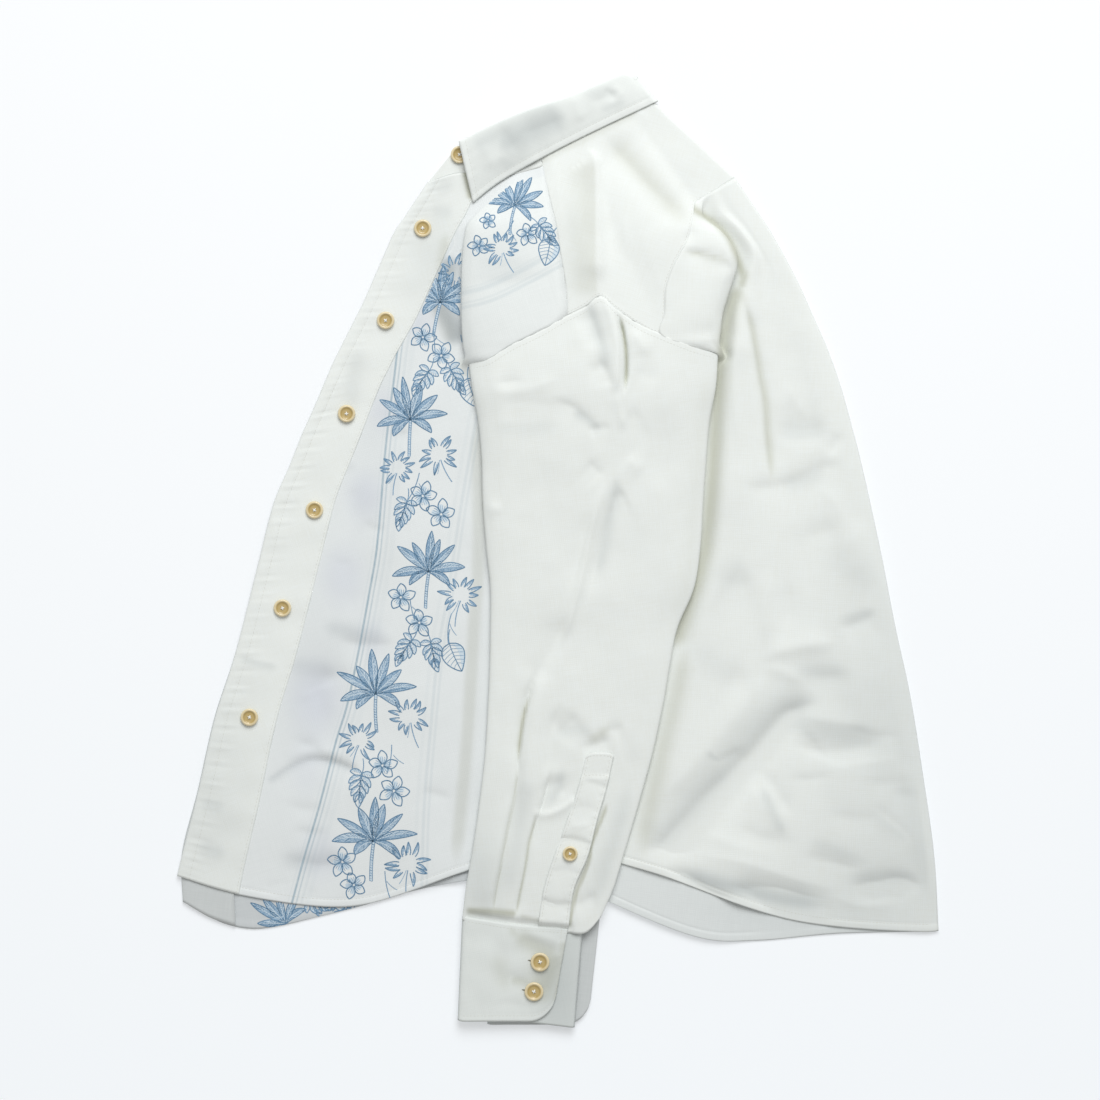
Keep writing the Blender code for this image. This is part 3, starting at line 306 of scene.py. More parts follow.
def clothPiece(node, grid, material, thickness=cloth["thickness"], ring=False):
    # A sheet of cloth whose middle is the grid, in place of one node
    place = np.arange(grid[..., 0].size).reshape(grid.shape[:2])
    after = np.roll(place, -1, axis=1)
    quads = np.stack([place[:-1], place[1:], after[1:], after[:-1]], axis=-1)
    quads = quads if ring else quads[:, :-1]
    piece = meshPiece(node + "_cloth", (grid.reshape(-1, 3) * mm + shift).tolist(),
                      quads.reshape(-1, 4).tolist(), materials[material], node)
    wall = piece.modifiers.new("Cloth thickness", "SOLIDIFY")
    wall.thickness = thickness * mm
    wall.offset = 0.0
    return piece


def paint(piece, name, values):
    # One number for each point of a piece, which its material reads
    layer = piece.data.attributes.new(name, "FLOAT", "POINT")
    layer.data.foreach_set("value", np.asarray(values, np.float32).reshape(-1))


# Colours of the linens and of their slubs. The collar and cuff tones are slightly darker copies of the plain
# linen, with painted shade, and the under, inside and shade tones are darker still, painted shade for the
# layers that lie under others
linenTones = {
    "plain": ((0.812, 0.846, 0.832), (0.790, 0.813, 0.778)),
    "collar": ((0.806, 0.838, 0.816), (0.782, 0.814, 0.792)),
    "cuff": ((0.742, 0.776, 0.756), (0.716, 0.750, 0.730)),
    "shade": ((0.604, 0.632, 0.632), (0.570, 0.598, 0.598)),
    "under": ((0.755, 0.788, 0.782), (0.720, 0.752, 0.748)),
    "printed": ((0.802, 0.834, 0.824), (0.768, 0.800, 0.790)),
    "inside": ((0.596, 0.626, 0.636), (0.564, 0.594, 0.608)),
}
# Tints mixed into the linens: cool grey patches on the front, partly its own tone and partly painted shade,
# the woven stripes, and painted shade, warm in tight folds and cool in broad dips
tintTones = {"haze": (0.655, 0.685, 0.735), "stripe": (0.37, 0.47, 0.53), "fold": (0.58, 0.57, 0.46),
             "dip": (0.55, 0.577, 0.598)}
weave = {"threadScale": 190.0, "threadDrift": 1.2, "slubsAcross": 1500.0, "slubsAlong": 55.0,
         "slubDepth": 200.0, "threadShare": 0.45, "bumpStrength": 0.5, "bumpHeight": 0.00012,
         "roughness": 0.92, "sheen": 0.12}


def fillInputs(tree, node, inputs):
    # Each input gets a value, or a link from the output of another node
    for name, value in inputs.items():
        socket = node.inputs[name]
        if isinstance(value, bpy.types.NodeSocket):
            tree.links.new(value, socket)
        else:
            socket.default_value = (*value, 1.0) if socket.type == "RGBA" else value


def addNode(tree, kind, inputs, **settings):
    node = tree.nodes.new("ShaderNode" + kind)
    for name, value in settings.items():
        setattr(node, name, value)
    fillInputs(tree, node, inputs)
    return node.outputs


def maths(tree, operation, *values):
    return addNode(tree, "Math", dict(enumerate(values)), operation=operation)[0]


def mixTones(tree, share, first, second, way="MIX"):
    return addNode(tree, "Mix", {"Factor": share, "A": first, "B": second}, data_type="RGBA",
                   blend_type=way)["Result"]


def spread(tree, value, low, high, curve="LINEAR"):
    # 0 at the low value and 1 at the high one
    return addNode(tree, "MapRange", {"Value": value, "From Min": low, "From Max": high},
                   interpolation_type=curve)["Result"]


def painted(tree, name):
    return addNode(tree, "Attribute", {}, attribute_name=name)["Fac"]


def grain(tree, place, scale, detail, **settings):
    return addNode(tree, "TexNoise", {"Vector": place, "Scale": scale, "Detail": detail}, **settings)["Fac"]


def newMaterial(name, looks):
    # A material, with the looks that stay the same all over it
    material = bpy.data.materials.new(name)
    material.use_nodes = True
    tree = material.node_tree
    fillInputs(tree, tree.nodes["Principled BSDF"], looks)
    return material, tree


def colourIt(tree, colour):
    fillInputs(tree, tree.nodes["Principled BSDF"], {"Base Color": colour})


def linenMaterial(name, tone, turn):
    # Plain-woven linen: threads both ways, with slubs and uneven tone along them
    material, tree = newMaterial(name, {"Roughness": weave["roughness"], "Sheen Weight": weave["sheen"],
                                        "Sheen Roughness": 0.6, "Specular IOR Level": 0.25})
    place = addNode(tree, "TexCoord", {})["Object"]
    turned = addNode(tree, "Mapping", {"Vector": place, "Rotation": (0.0, 0.0, turn)})["Vector"]
    across, along, depth = weave["slubsAcross"], weave["slubsAlong"], weave["slubDepth"]
    slubs = []
    for label, stretch in (("warp slubs", (across, along, depth)), ("weft slubs", (along, across, depth))):
        scaled = addNode(tree, "Mapping", {"Vector": turned, "Scale": stretch})["Vector"]
        slubs.append(addNode(tree, "TexNoise", {"Vector": scaled, "Scale": 1.0, "Detail": 3.0,
                                                "Roughness": 0.6}, label=label)["Fac"])
    threads = {"Vector": turned, "Scale": weave["threadScale"], "Distortion": weave["threadDrift"],
               "Detail": 1.0}
    waves = [addNode(tree, "TexWave", threads, wave_type="BANDS", bands_direction=direction)["Fac"]
             for direction in ("X", "Y")]
    slubMix = maths(tree, "ADD", *slubs)
    tinted = mixTones(tree, spread(tree, slubMix, 0.75, 1.25), linenTones[tone][1], linenTones[tone][0])
    # Painted shade: the fold and dip numbers darken the colour towards the fold and dip tones
    for layer in ("fold", "dip"):
        tinted = mixTones(tree, painted(tree, layer), tinted, tintTones[layer], "MULTIPLY")
    colourIt(tree, tinted)
    relief = maths(tree, "MULTIPLY_ADD", maths(tree, "MULTIPLY", *waves), weave["threadShare"], slubMix)
    bump = addNode(tree, "Bump", {"Strength": weave["bumpStrength"], "Distance": weave["bumpHeight"],
                                  "Height": relief})["Normal"]
    fillInputs(tree, tree.nodes["Principled BSDF"], {"Normal": bump})
    return material


# Linens: material, tone and how the weave is turned
linens = {
    "body": ("cream_linen_body", "plain", 0.05), "sleeve": ("cream_linen_sleeve", "plain", -0.12),
    "band": ("cream_linen_bands", "plain", -0.32), "collar": ("cream_linen_collar", "collar", 0.42),
    "cuff": ("cream_linen_cuffs", "cuff", -0.2), "shade": ("cream_linen_shaded", "shade", 0.12),
    "under": ("cream_linen_under", "under", 0.12), "yoke": ("cream_linen_yoke", "plain", 0.3),
    "printed": ("white_linen_front", "printed", -0.3), "inside": ("white_linen_inside", "inside", -0.2),
}
materials = {key: linenMaterial(*look) for key, look in linens.items()}
print("linens mixed")

# Seams that two or more pieces share, as (x, y, height)
frontYokeSeam = (
    (-13, 336.5, 7.5), (-8, 314, 12), (-4.5, 299, 15), (-1, 284, 18), (3, 257, 21.5), (7, 231, 24),
    (8, 205, 25))
armholeSeam = (
    (-77.5, 164, 8.6), (-60, 168, 19), (-40, 180, 22), (-15, 192, 24), (8, 205, 25), (24, 213, 25),
    (37, 222, 25.5), (51, 211, 25), (70, 198, 24.5), (88, 190, 24), (114, 180, 22.5), (139.5, 172, 12))
backYokeSeam = (
    (88, 190, 24), (92, 207, 24), (93, 228, 24), (101, 250, 23), (112, 270, 20.5), (117, 289, 16),
    (120, 305, 9.5), (134, 314, 7), (154, 326, 4))
sideSeam = [(x, y, levels["leftOverSleeve"]) for x, y in (
    (30.0, 105.0), (27.0, 60.0), (22.0, 0.0), (16.0, -70.0), (12.0, -125.0), (7.0, -190.0),
    (3.0, -236.0), (2.0, -254.0))]

# Hems, from the front edge to the side seam or from the side seam to the centre back
leftFrontHem = (
    (-331, -280), (-290, -293), (-253, -302), (-213, -307.5), (-174, -306), (-137, -294.5), (-86, -278),
    (-33, -260), (2, -254))
rightFrontHem = (
    (-325, -303), (-306, -314.5), (-286, -323), (-258, -326.5), (-226, -320), (-174, -307.5), (-120, -292),
    (-50, -280), (2, -275))
leftBackHem = ((2, -254), (55, -269), (125, -290), (193, -314.5), (235, -330), (280, -331.5), (331, -328))
rightBackHem = (
    (2, -284), (41, -302), (82, -318), (113, -332), (162, -337), (235, -331), (280, -329.5), (331, -328))

# Left front above the armhole: front edge, then valley, under, fold and crest of the turned-over
# cloth with their heights, the height of the top, and a lift along the cloth
frontSections = (
    (-113, 322, -50, 4.3, -44, 4.9, -38, 5.5, -31, 6, 6.8, 0),
    (-128, 300, -66, 4.8, -60, 6.2, -55, 8.2, -47, 11, 12.2, 0),
    (-134, 291, -77, 4.8, -72, 6.4, -68, 9.5, -60, 13.5, 15, 0),
    (-141, 281, -86, 4.8, -80, 6.6, -78, 10.5, -70, 16, 18, 0),
    (-155, 250, -92, 4.6, -74, 6.4, -82.5, 11, -73, 18, 20.5, 0),
    (-168, 220, -93, 4.6, -72, 6.4, -83, 11.5, -74, 19, 22.5, 0),
    (-178, 200, -92, 4.6, -71, 6.4, -83, 11.5, -74, 19, 23, 1),
    (-188, 180, -91, 4.6, -71, 6.4, -82.5, 11, -73, 18.5, 22.2, 2),
    (-195, 166, -90, 4.6, -71, 6.3, -81.5, 10.5, -73, 17.5, 20.8, 3.5),
    (-201, 152, -89, 4.6, -73, 6.2, -80, 9.6, -75, 14.5, 17.6, 5),
    (-206, 140, -88, 4.7, -85, 5.1, -83.2, 5.8, -81.5, 6.6, 7.6, 0))
liftShares = (0.0, 0.0, 0.3, 1.0, 1.0, 1.0, 0.8, 0.4)
# Two rows under the armhole, where the front goes in below the sleeve
underArmFront = (
    ((-213, 124), (-186, 129), (-159, 133.5), (-92, 146), (-88, 148), (-84, 150), (-80, 152.5),
     (-75.5, 155), (-71, 157)),
    ((-222, 104), (-195, 107), (-168, 110), (-88, 119), (-76, 120), (-64, 121.5), (-53, 123), (-42, 124),
     (-30, 125)))
# Below it: front edge, where it goes under the sleeve, swell, and how far it follows the hem
lowerFront = (
    (-233, 76, -68, 2, 0), (-246, 46, -65, 2.6, 0), (-261, -12, -61, 3, 0), (-281, -88, -58, 3, 0.1),
    (-298, -140, -61, 2.6, 0.25), (-313, -205, -67, 2.2, 0.5), (-327, -262, -74, 1.4, 0.85),
    (-331, -280, -78, 0.6, 1))
placketWidth = 54.0
placketEdge = 1.6


def heightOn(curve, x):
    # y of a curve given by (x, y) points, smooth between them
    curve = [tuple(p) for p in curve]
    last = len(curve) - 2
    i = min(max(sum(1 for p in curve if p[0] < x) - 1, 0), last)
    (xa, ya), (xb, yb) = curve[i], curve[i + 1]
    before, after = curve[max(i - 1, 0)], curve[min(i + 2, last + 1)]
    share = min(max((x - xa) / (xb - xa), 0.0), 1.0)
    slopeA = (yb - before[1]) / (xb - before[0])
    slopeB = (after[1] - ya) / (after[0] - xa)
    h1 = (1 + 2 * share) * (1 - share) ** 2
    h2 = share * (1 - share) ** 2
    h3 = share ** 2 * (3 - 2 * share)
    h4 = share ** 2 * (share - 1)
    return h1 * ya + h2 * (xb - xa) * slopeA + h3 * yb + h4 * (xb - xa) * slopeB


def sectionY(x, x1, y1, x2, y2, hem, follow):
    straight = lerp(y1, y2, (x - x1) / (x2 - x1))
    if follow == 0.0:
        return straight
    chord = lerp(hem[0][1], hem[-1][1], (x - hem[0][0]) / (hem[-1][0] - hem[0][0]))
    return straight + follow * (heightOn(hem, x) - chord)


def leftFrontRows():
    left, over = levels["left"], levels["leftOverSleeve"]
    ends = list(frontYokeSeam) + list(armholeSeam[3::-1])
    rows = []
    for section, end in zip(frontSections, ends):
        edgeX, edgeY, valleyX, valleyZ, underX, underZ, foldX, foldZ, crestX, crestZ, topZ, lift = section
        places = ((edgeX + placketEdge, left), (edgeX + placketWidth / 2, left),
                  (edgeX + placketWidth, left), (valleyX, valleyZ), (underX, underZ), (foldX, foldZ),
                  (crestX, crestZ), ((crestX + end[0]) / 2, topZ))
        row = []
        for (x, z), lifted in zip(places, liftShares):
            share = min((x - edgeX) / (end[0] - edgeX), 1.0)
            row.append([x, lerp(edgeY, end[1], share) + lift * lifted, z])
        rows.append(row + [list(end)])
    for line in underArmFront:
        rows.append([[x + (placketEdge if i == 0 else 0.0), y, left if i < 3 else over]
                     for i, (x, y) in enumerate(line)])
    for (edgeX, edgeY, sleeveX, swell, follow), end in zip(lowerFront, sideSeam):
        reach = end[0] - sleeveX
        places = ((edgeX + placketEdge, left), (edgeX + placketWidth / 2, left),
                  (edgeX + placketWidth, left), (lerp(edgeX + placketWidth, sleeveX, 0.5), left + swell),
                  (sleeveX - 12, over), (sleeveX + reach * 0.10, over), (sleeveX + reach * 0.4, over),
                  (sleeveX + reach * 0.7, over), (end[0], over))
        rows.append([[x, sectionY(x, edgeX, edgeY, end[0], end[1], leftFrontHem, follow), z]
                     for x, z in places])
    neck = [(-113.0, 322.0), (-88.0, 330.0), (-60.0, 327.5), (-36.0, 329.5), (-13.4, 336.5)]
    for p in rows[0]:
        p[1] = heightOn(neck, p[0]) - cloth["seamGap"] / 2
    for row in rows:
        row[-1][0] -= cloth["seamGap"] / 2
    for row in rows[len(frontYokeSeam) - 1:len(frontSections)]:
        row[-1][1] += cloth["seamGap"] / 2
    return np.array(rows, float)


# The dictionaries of the pieces below hold what shapes and shades their cloth:
# "creases": a path, as x and y of its points in turn, the height, the width on the left of the path,
# the width on its right, the sharpness and how soon it fades; the usual last ones are left out
# "foldTints": painted shade, warm in tone, in the tight folds, as path, strength, widths, sharpness, fade
# "dipTints": the same painted shade in the broad soft folds, cooler in tone
# "shadeSpots": painted shade where the cloth lies in softer light, as x, y, reach across, reach up and
# strength
# "settling": where a hem lies down from the layers under it: how far up it starts, the height at the
# edge, the range of x over which it takes hold, and the least height over the layer below at two x


def settle(grid, look, where, lift=0.0):
    rule = look["settling"]
    share = smoothStep(1.0 - edgeDistance(grid, "bottom") / rule["reach"])
    share = share * smoothStep((grid[..., 0] - rule["start"]) / (rule["full"] - rule["start"]))
    lowered = lerp(grid[..., 2], np.minimum(grid[..., 2], rule["low"] + lift), share)
    grid[..., 2] = np.where(where, lowered, grid[..., 2])


def keepAbove(grid, look, where):
    xs, heights = zip(*look["settling"]["keep"])
    lowest = np.interp(grid[..., 0], xs, heights)
    grid[..., 2] = np.where(where, np.maximum(grid[..., 2], lowest), grid[..., 2])


# Woven stripes of the printed cloth: the path each group follows, and its lines as distance to the
# right of the path, half width and strength
stripes = {
    "stripe_left": {
        "path": (-99, 271, -117, 245, -130, 214, -137, 190, -142, 152, -148.6, 99, -157, 3, -163, -32,
         -172, -81, -183, -133, -192, -162, -207, -220, -221, -267, -232, -308),
        "lines": ((0, 0.95, 0.95), (3.6, 0.75, 0.5), (8, 1.3, 0.16), (-3.4, 0.7, 0.1), (13, 2.4, 0.07))},
    "stripe_right": {
        "path": (-70, 120, -84, 40, -96, -40, -103, -80, -110, -150, -116, -223, -118, -300),
        "lines": ((0, 1.4, 0.2), (4.2, 1.2, 0.16), (-6, 1.6, 0.07))},
    "stripe_over": {
        "path": (-92, 211, -80.5, 213, -58, 218, -26.5, 233, -2, 246, 16, 255),
        "lines": ((0, 1.6, 0.2), (-3.6, 1.2, 0.13), (-12.5, 2.2, 0.2), (-16, 1.2, 0.1))},
}
# Cooler, greyer patches between the band and the print, partly the cloth's own tone and partly painted shade,
# as spots of x, y, reach and strength
coolGreyAndShadeSpots = (
    (-186, -20, 24, 0.62), (-209, -126, 27, 0.78), (-218, -190, 22, 0.4), (-206, -262, 24, 0.5),
    (-166, 50, 20, 0.66), (-160, -76, 18, 0.45), (-118, 200, 16, 0.6), (-150, 124, 17, 0.58))


def paintFoldShade(piece, grid, look, mask=1.0, least=0.0):
    # Paints shade into the cloth's colour in its folds and dips, and where it lies in softer light
    for layer, tints in (("fold", "foldTints"), ("dip", "dipTints")):
        total = np.zeros(grid.shape[:2])
        for path, strength, *shape in look.get(tints, ()):
            total = np.maximum(total, strength * ridge(grid, path, *shape))
        total = total * mask
        if layer == "dip":
            total = np.maximum(total, least)
            for x, y, reachAcross, reachUp, strength in look.get("shadeSpots", ()):
                far = ((grid[..., 0] - x) / reachAcross) ** 2 + ((grid[..., 1] - y) / reachUp) ** 2
                total = total + strength * np.exp(-far) * (1.0 - total)
        paint(piece, layer, np.clip(total, 0.0, 1.0))


overHeight = 9.0  # cloth above it is the turned-over panel
farOff = 400.0  # so far from a stripe that none shows


def markStripes(piece, grid):
    # Distances that the cloth's shader turns into stripes, given to each point of the mesh
    spots = grid[..., :2].reshape(-1, 2)
    raised = grid[..., 2].reshape(-1) > overHeight
    for name, group in stripes.items():
        over = name == "stripe_over"
        best, side = besidePath(spots, smoothCurve(np.reshape(group["path"], (-1, 2)), 4))[:2]
        best = np.where((side > 0) != over, best, -best)
        paint(piece, name, np.where(raised == over, best, farOff))
    haze = np.zeros(len(spots))
    for x, y, reach, strength in coolGreyAndShadeSpots:
        haze += strength * np.exp(-((spots[:, 0] - x) / reach) ** 2
                                  - ((spots[:, 1] - y) / (1.3 * reach)) ** 2)
    # The lower panel gets at least a fifth of the grey and more in the patches: painted shade that leaves the
    # raised turned-over panel lighter
    haze = np.where(raised, haze, np.maximum(haze, 0.2) + 0.25 * haze)
    paint(piece, "haze", np.clip(haze, 0.0, 1.0))


# The sleeve's creases run on above this height only, and the cloth is uneven by height, size and seed
headFade = {"from": 168.0, "over": 12.0}
unevenness = ((0.30, 80.0, 21), (0.04, 25.0, 22))


def addRelief(grid, mask, own, *others):
    # Creases, and the gentle unevenness that runs on from piece to piece over their seams
    for look in (own, *others):
        spared = look is sleeveCloth and own is not look
        share = mask * smoothStep((grid[..., 1] - headFade["from"]) / headFade["over"]) if spared else mask
        press(grid, look["creases"], share)
    grid[..., 2] += mask * sum(height * undulation(grid, size, seed) for height, size, seed in unevenness)


def stripeShading(material):
    # Mixes the woven stripes and the cool grey patches, partly painted shade, into the cloth's colour
    tree = material.node_tree
    plain = tree.nodes["Principled BSDF"].inputs["Base Color"].links[0].from_socket
    ink = None
    for name, group in stripes.items():
        source = painted(tree, name)
        for offset, half, strength in group["lines"]:
            away = maths(tree, "ABSOLUTE", maths(tree, "SUBTRACT", source, offset))
            profile = spread(tree, away, half * 1.6, half * 0.3, "SMOOTHSTEP")
            line = maths(tree, "MULTIPLY", profile, strength)
            ink = line if ink is None else maths(tree, "MAXIMUM", ink, line)
    streaks = [node for node in tree.nodes if node.label == "warp slubs"][0].outputs["Fac"]
    ink = maths(tree, "MULTIPLY", ink, maths(tree, "ADD", maths(tree, "MULTIPLY", streaks, 1.5), 0.2))
    cool = mixTones(tree, painted(tree, "haze"), plain, tintTones["haze"])
    colourIt(tree, mixTones(tree, ink, cool, tintTones["stripe"]))


# Left front, on the body and turned over by the armhole
frontCloth = {"creases": (
    ((-236, -70, -214, -104, -205, -142, -212, -180), -2.2, 17, 20, 2, 0.35),
    ((-186, 70, -178, 20, -186, -40), -1.5, 16, 18, 2),
    ((-150, 120, -156, 30, -168, -50), 1.6, 18, None, 2),
    ((-228, -20, -224, -60, -232, -90), 1.8, 14, 14, 2, 0.45),
    ((-234, -104, -214, -108, -196, -106, -172, -104), -2.2, 9, 12, 1.9, 0.35),
    ((-194, -72, -178, -78, -160, -79, -138, -78), -2, 6, 10, 1.8, 0.35),
    ((-254, -199, -236, -187, -213, -178.5, -190, -182, -170, -190), -2.8, 2.4, 7, 1.6, 0.12),
    ((-189, -107, -206, -114, -225, -122), -1.2, 3.2, 6, 1.8, 0.3),
    ((-227, -164, -214, -168, -201, -175), -1.1, 3.2, 6, 1.8, 0.3),
    ((-232, -238, -214, -243, -198, -241), -1.1, 3.5, 6, 1.8, 0.35),
    ((-170, 30, -160, 22, -146, 20), -1, 3.5, 6, 1.8, 0.35),
    ((-204, 0, -190, -8, -176, -8), -1, 3.5, 6, 1.8, 0.35),
    ((-244, -184, -222, -173, -200, -172, -176, -180), 1.2, 6, 3.5, 1.8, 0.35),
    ((-240, -262, -220, -270, -196, -270, -176, -264), -2.2, 8),
    ((-262, -288, -236, -292, -206, -296), -1.3, 5, 6, 1.8),
    ((-206, 84, -190, 78, -172, 75), -1.8, 3.5, 7, 1.7, 0.35),
    ((-206, 50, -186, 50, -170, 56), -1.2, 4.5, 7, 1.8),
    ((-232, -135, -214, -126, -200, -116), -1.1, 5, 7, 1.8),
    ((-236, -158, -220, -164, -204, -163), -1, 4.5, 6, 1.8),
    ((-244, -214, -222, -222, -200, -220), -1.2, 5, 7, 1.8),
    ((-148, 105, -138, 103, -126, 106), -1.2, 5, None, 1.8),
    ((-120, -205, -106, -209, -90, -213), -1.2, 4, 6, 1.7),
    ((-88, 60, -90, 0, -92, -70), -0.8, 5, None, 2), ((-74, 238, -40, 234, -6, 244), -0.8, 5, 6, 2, 0.3),
    ((-66, 256, -40, 254, -12, 262), 0.8, 8, None, 2, 0.35)
), "foldTints": (
    ((-68, 124, -69, 80, -68, 40, -69, -20, -72, -58, -75, -110, -78, -160, -83, -215, -89, -276), 0.4,
     5.5, 6, 4, 0.08),
    ((-94, 258, -100, 236, -103, 216, -95, 198, -88, 180), 0.36, 8, 8, 2.6, 0.15),
    ((-84, 172, -80, 150), 0.4, 5)
), "dipTints": (
    ((-92, 262, -98, 236, -101, 216, -92, 198, -86, 178), 0.92, 11, 9, 2.6, 0.12),
    ((-238, -95, -216, -99, -190, -105), 0.36, 7, 10),
    ((-208, -62, -188, -66, -166, -70, -146, -71), 0.4, 7, 8, 2, 0.25),
    ((-254, -199, -236, -187, -213, -178.5, -190, -182, -170, -190), 0.42, 1.8, 4.5, 2, 0.08),
    ((-246, -260, -222, -267, -200, -266, -178, -260), 0.38, 9),
    ((-206, 84, -190, 78, -172, 75), 0.24, 3, 6)
), "shadeSpots": (
    (-50, 252, 26, 22, 0.24), (-214, -112, 26, 60, 0.16), (-150, 100, 24, 90, 0.14)
), "settling": {
    "reach": 70, "low": 1.9, "start": -95, "full": -150, "keep": ((-112, 1.5), (-78, 4.3))
}}

# How far from its edge each row of stitching runs
seams = {"hem": 6.5, "underHem": 7.0, "placket": 11.5, "placketSeam": 2.4, "slit": 2.4, "slitTop": 3.0,
         "slitBar": 20.0, "cuff": 5.0, "cuffSeam": 4.0, "collar": 6.0, "yoke": 3.0, "armhole": 5.0}


def leftFront():
    rows = leftFrontRows()
    grid, across, _ = fineGrid(rows, 2.6, 2.6, hidden=(6, 7), fineRows=(19,), fineCell=1.4)
    settle(grid, frontCloth, True)
    addRelief(grid, smoothStep((across - 2.0) / 0.6), frontCloth, yokeCloth, sleeveCloth)
    sewEdge(grid, "bottom", seams["hem"], 0.3, 0.35, 0.14, seed=3)
    keepAbove(grid, frontCloth, grid[..., 1] < 100.0)
    sinkEdge(grid, "right", 0.12, 1.4, 0.0)
    piece = clothPiece("left_front", grid, "printed")
    markStripes(piece, grid)
    paintFoldShade(piece, grid, frontCloth, (grid[..., 2] < 12.0) * 1.0)
    stripeShading(materials["printed"])
    return rows, grid


# Left front placket, a band on the front
placketCloth = {"foldTints": (
    ((-82, 344, -79, 328, -74, 305), 0.85, 3, 3.4, 2.2, 0.15),
    ((-96, 282, -99, 262, -103, 240), 0.3, 4, 5)
), "dipTints": (
    ((-116, 326, -102, 322, -88, 314), 0.2, 9, 10, 2, 0.35),
    ((-112, 300, -100, 298, -88, 296), 0.18, 5, 7, 2, 0.35),
    ((-170, 184, -178, 150, -178, 118), 0.2, 9, 8),
    ((-278, -89, -260, -95, -240, -99), 0.28, 2.4, 5, 2, 0.25),
    ((-312, -214, -300, -219, -286, -218), 0.22, 5, 7, 2, 0.35),
    ((-314, -249, -300, -257, -284, -262), 0.24, 6, 8, 2, 0.35)
), "shadeSpots": (
    (-110, 262, 26, 42, 0.2), (-300, -210, 40, 110, 0.16)
)}


def leftFrontPlacket(rows):
    strip = rows[:, :3].copy()
    strip[..., 2] += 1.25
    settle(strip, frontCloth, strip[..., 0] < 0.0, 1.3)
    strip[:, 2, 2] -= 1.0
    edge = strip[:, :1].copy()
    edge[..., 0] -= 1.1
    edge[..., 2] -= 1.1
    strip = np.concatenate([edge, strip], axis=1)
    grid = fineGrid(strip, 1.5, 2.4, fineCell=0.8, fine=(0,))[0]
    sewEdge(grid, "left", seams["placket"], 0.15, 0.5, 0.34, seed=5, spacing=6.5)
    sewEdge(grid, "right", seams["placketSeam"], 0.0, 0.2, 0.2, seed=6, spacing=7.0)
    grid[..., 2] += 0.22 * (1.0 + undulation(grid, 46.0, 14)) * smoothStep(edgeDistance(grid, "left") / 6.0)
    paintFoldShade(clothPiece("left_front_placket", grid, "band"), grid, placketCloth)
    return grid


def frontEdges():
    edges = [(s[0], s[1]) for s in frontSections] + [(-213, 124), (-222, 104)]
    return edges + [(s[0], s[1]) for s in lowerFront]


rightPlacket = {"width": 46.0, "widthAtNeck": 22.0, "under": 12.0, "lean": 0.12}


def rightFrontPlacket():
    # It makes the rolled front edge, from under, round the edge and back under the left placket
    rows = []
    for index, (x, y) in enumerate(frontEdges()):
        width = rightPlacket["width"] if index > 3 else rightPlacket["widthAtNeck"]
        places = ((rightPlacket["under"], levels["right"]), (1.6, levels["right"]), (0.5, 1.3),
                  (1.6, 2.1), (width / 2, 2.1), (width, 2.1))
        rows.append([[x + aside, y + aside * rightPlacket["lean"] - 1.0, z] for aside, z in places])
    for p in rows[-1]:
        p[0] += 5.0
        p[1] = heightOn(rightFrontHem, p[0])
    grid = fineGrid(rows, 6.0, 4.0, fine=(1, 2), fineCell=0.5)[0]
    clothPiece("right_front_placket", grid, "shade")


def rightFront():
    # Flat on the floor, raised where the right collar leaf and the right sleeve lie under it
    first = rightPlacket["under"] + 0.4
    right, overCollar, overSleeve = levels["right"], levels["rightOverCollar"], levels["rightOverSleeve"]
    armhole = ((4, 172), (-4, 160), (-6, 150), (-3, 138), (4, 127), (14, 116))
    edges = frontEdges()
    rows = []

    def laid(edgeX, turn, raised, endX, level, heightAt):
        xs = (edgeX + first, lerp(edgeX + first, turn, 0.5), turn, *raised, endX)
        rows.append([[x, heightAt(x), right if i < 3 else level] for i, x in enumerate(xs)])

    def slanted(edgeX, edgeY, endX, endY):
        return lambda x: lerp(edgeY, endY, (x - edgeX) / (endX - edgeX))

    for index, (edge, end) in enumerate(zip(edges, frontYokeSeam)):
        laid(edge[0], -90, (-80, -62, -38), end[0] - 0.4, overCollar if index < 2 else right,
             slanted(*edge, *end[:2]))
    for edge, end in zip(edges[7:], armhole):
        laid(edge[0], -108, (-68, -50, -30), end[0], overSleeve, slanted(*edge, *end))
    for (edgeX, edgeY, _, _, follow), end in zip(lowerFront, sideSeam):
        endY = end[1] if follow < 0.4 else lerp(end[1], -275, (follow - 0.4) / 0.6)
        startY = lerp(edgeY, -303, follow)
        laid(edgeX, -112, (-78, -50, -20), end[0] - 0.3, overSleeve,
             lambda x: sectionY(x, edgeX, startY, end[0], endY, rightFrontHem, follow))
    for row, edge in zip(rows, edges):
        row[0][1] = edge[1] + rightPlacket["under"] * rightPlacket["lean"] - 1.0
    rows[-1][0][0] += 5.0
    rows = np.array(rows, float)
    between = [lerp(rows[:, i], rows[:, i + 1], step / 4)
               for i in range(rows.shape[1] - 1) for step in range(4)]
    grid = np.stack(between + [rows[:, -1]], axis=1)
    for p in grid[-1]:
        p[1] = heightOn(rightFrontHem, p[0])
    grid = fineGrid(grid, 6.0, 7.0, fineRows=(len(rows) - 2,), fineCell=1.8)[0]
    sewEdge(grid, "bottom", seams["underHem"], 0.3, 0.4, 0.2, seed=8)
    grid[..., 2] = np.maximum(grid[..., 2], 0.42)
    # Its darker inside linen is painted shade for this lowest layer, under the left front
    clothPiece("right_front", grid, "inside")


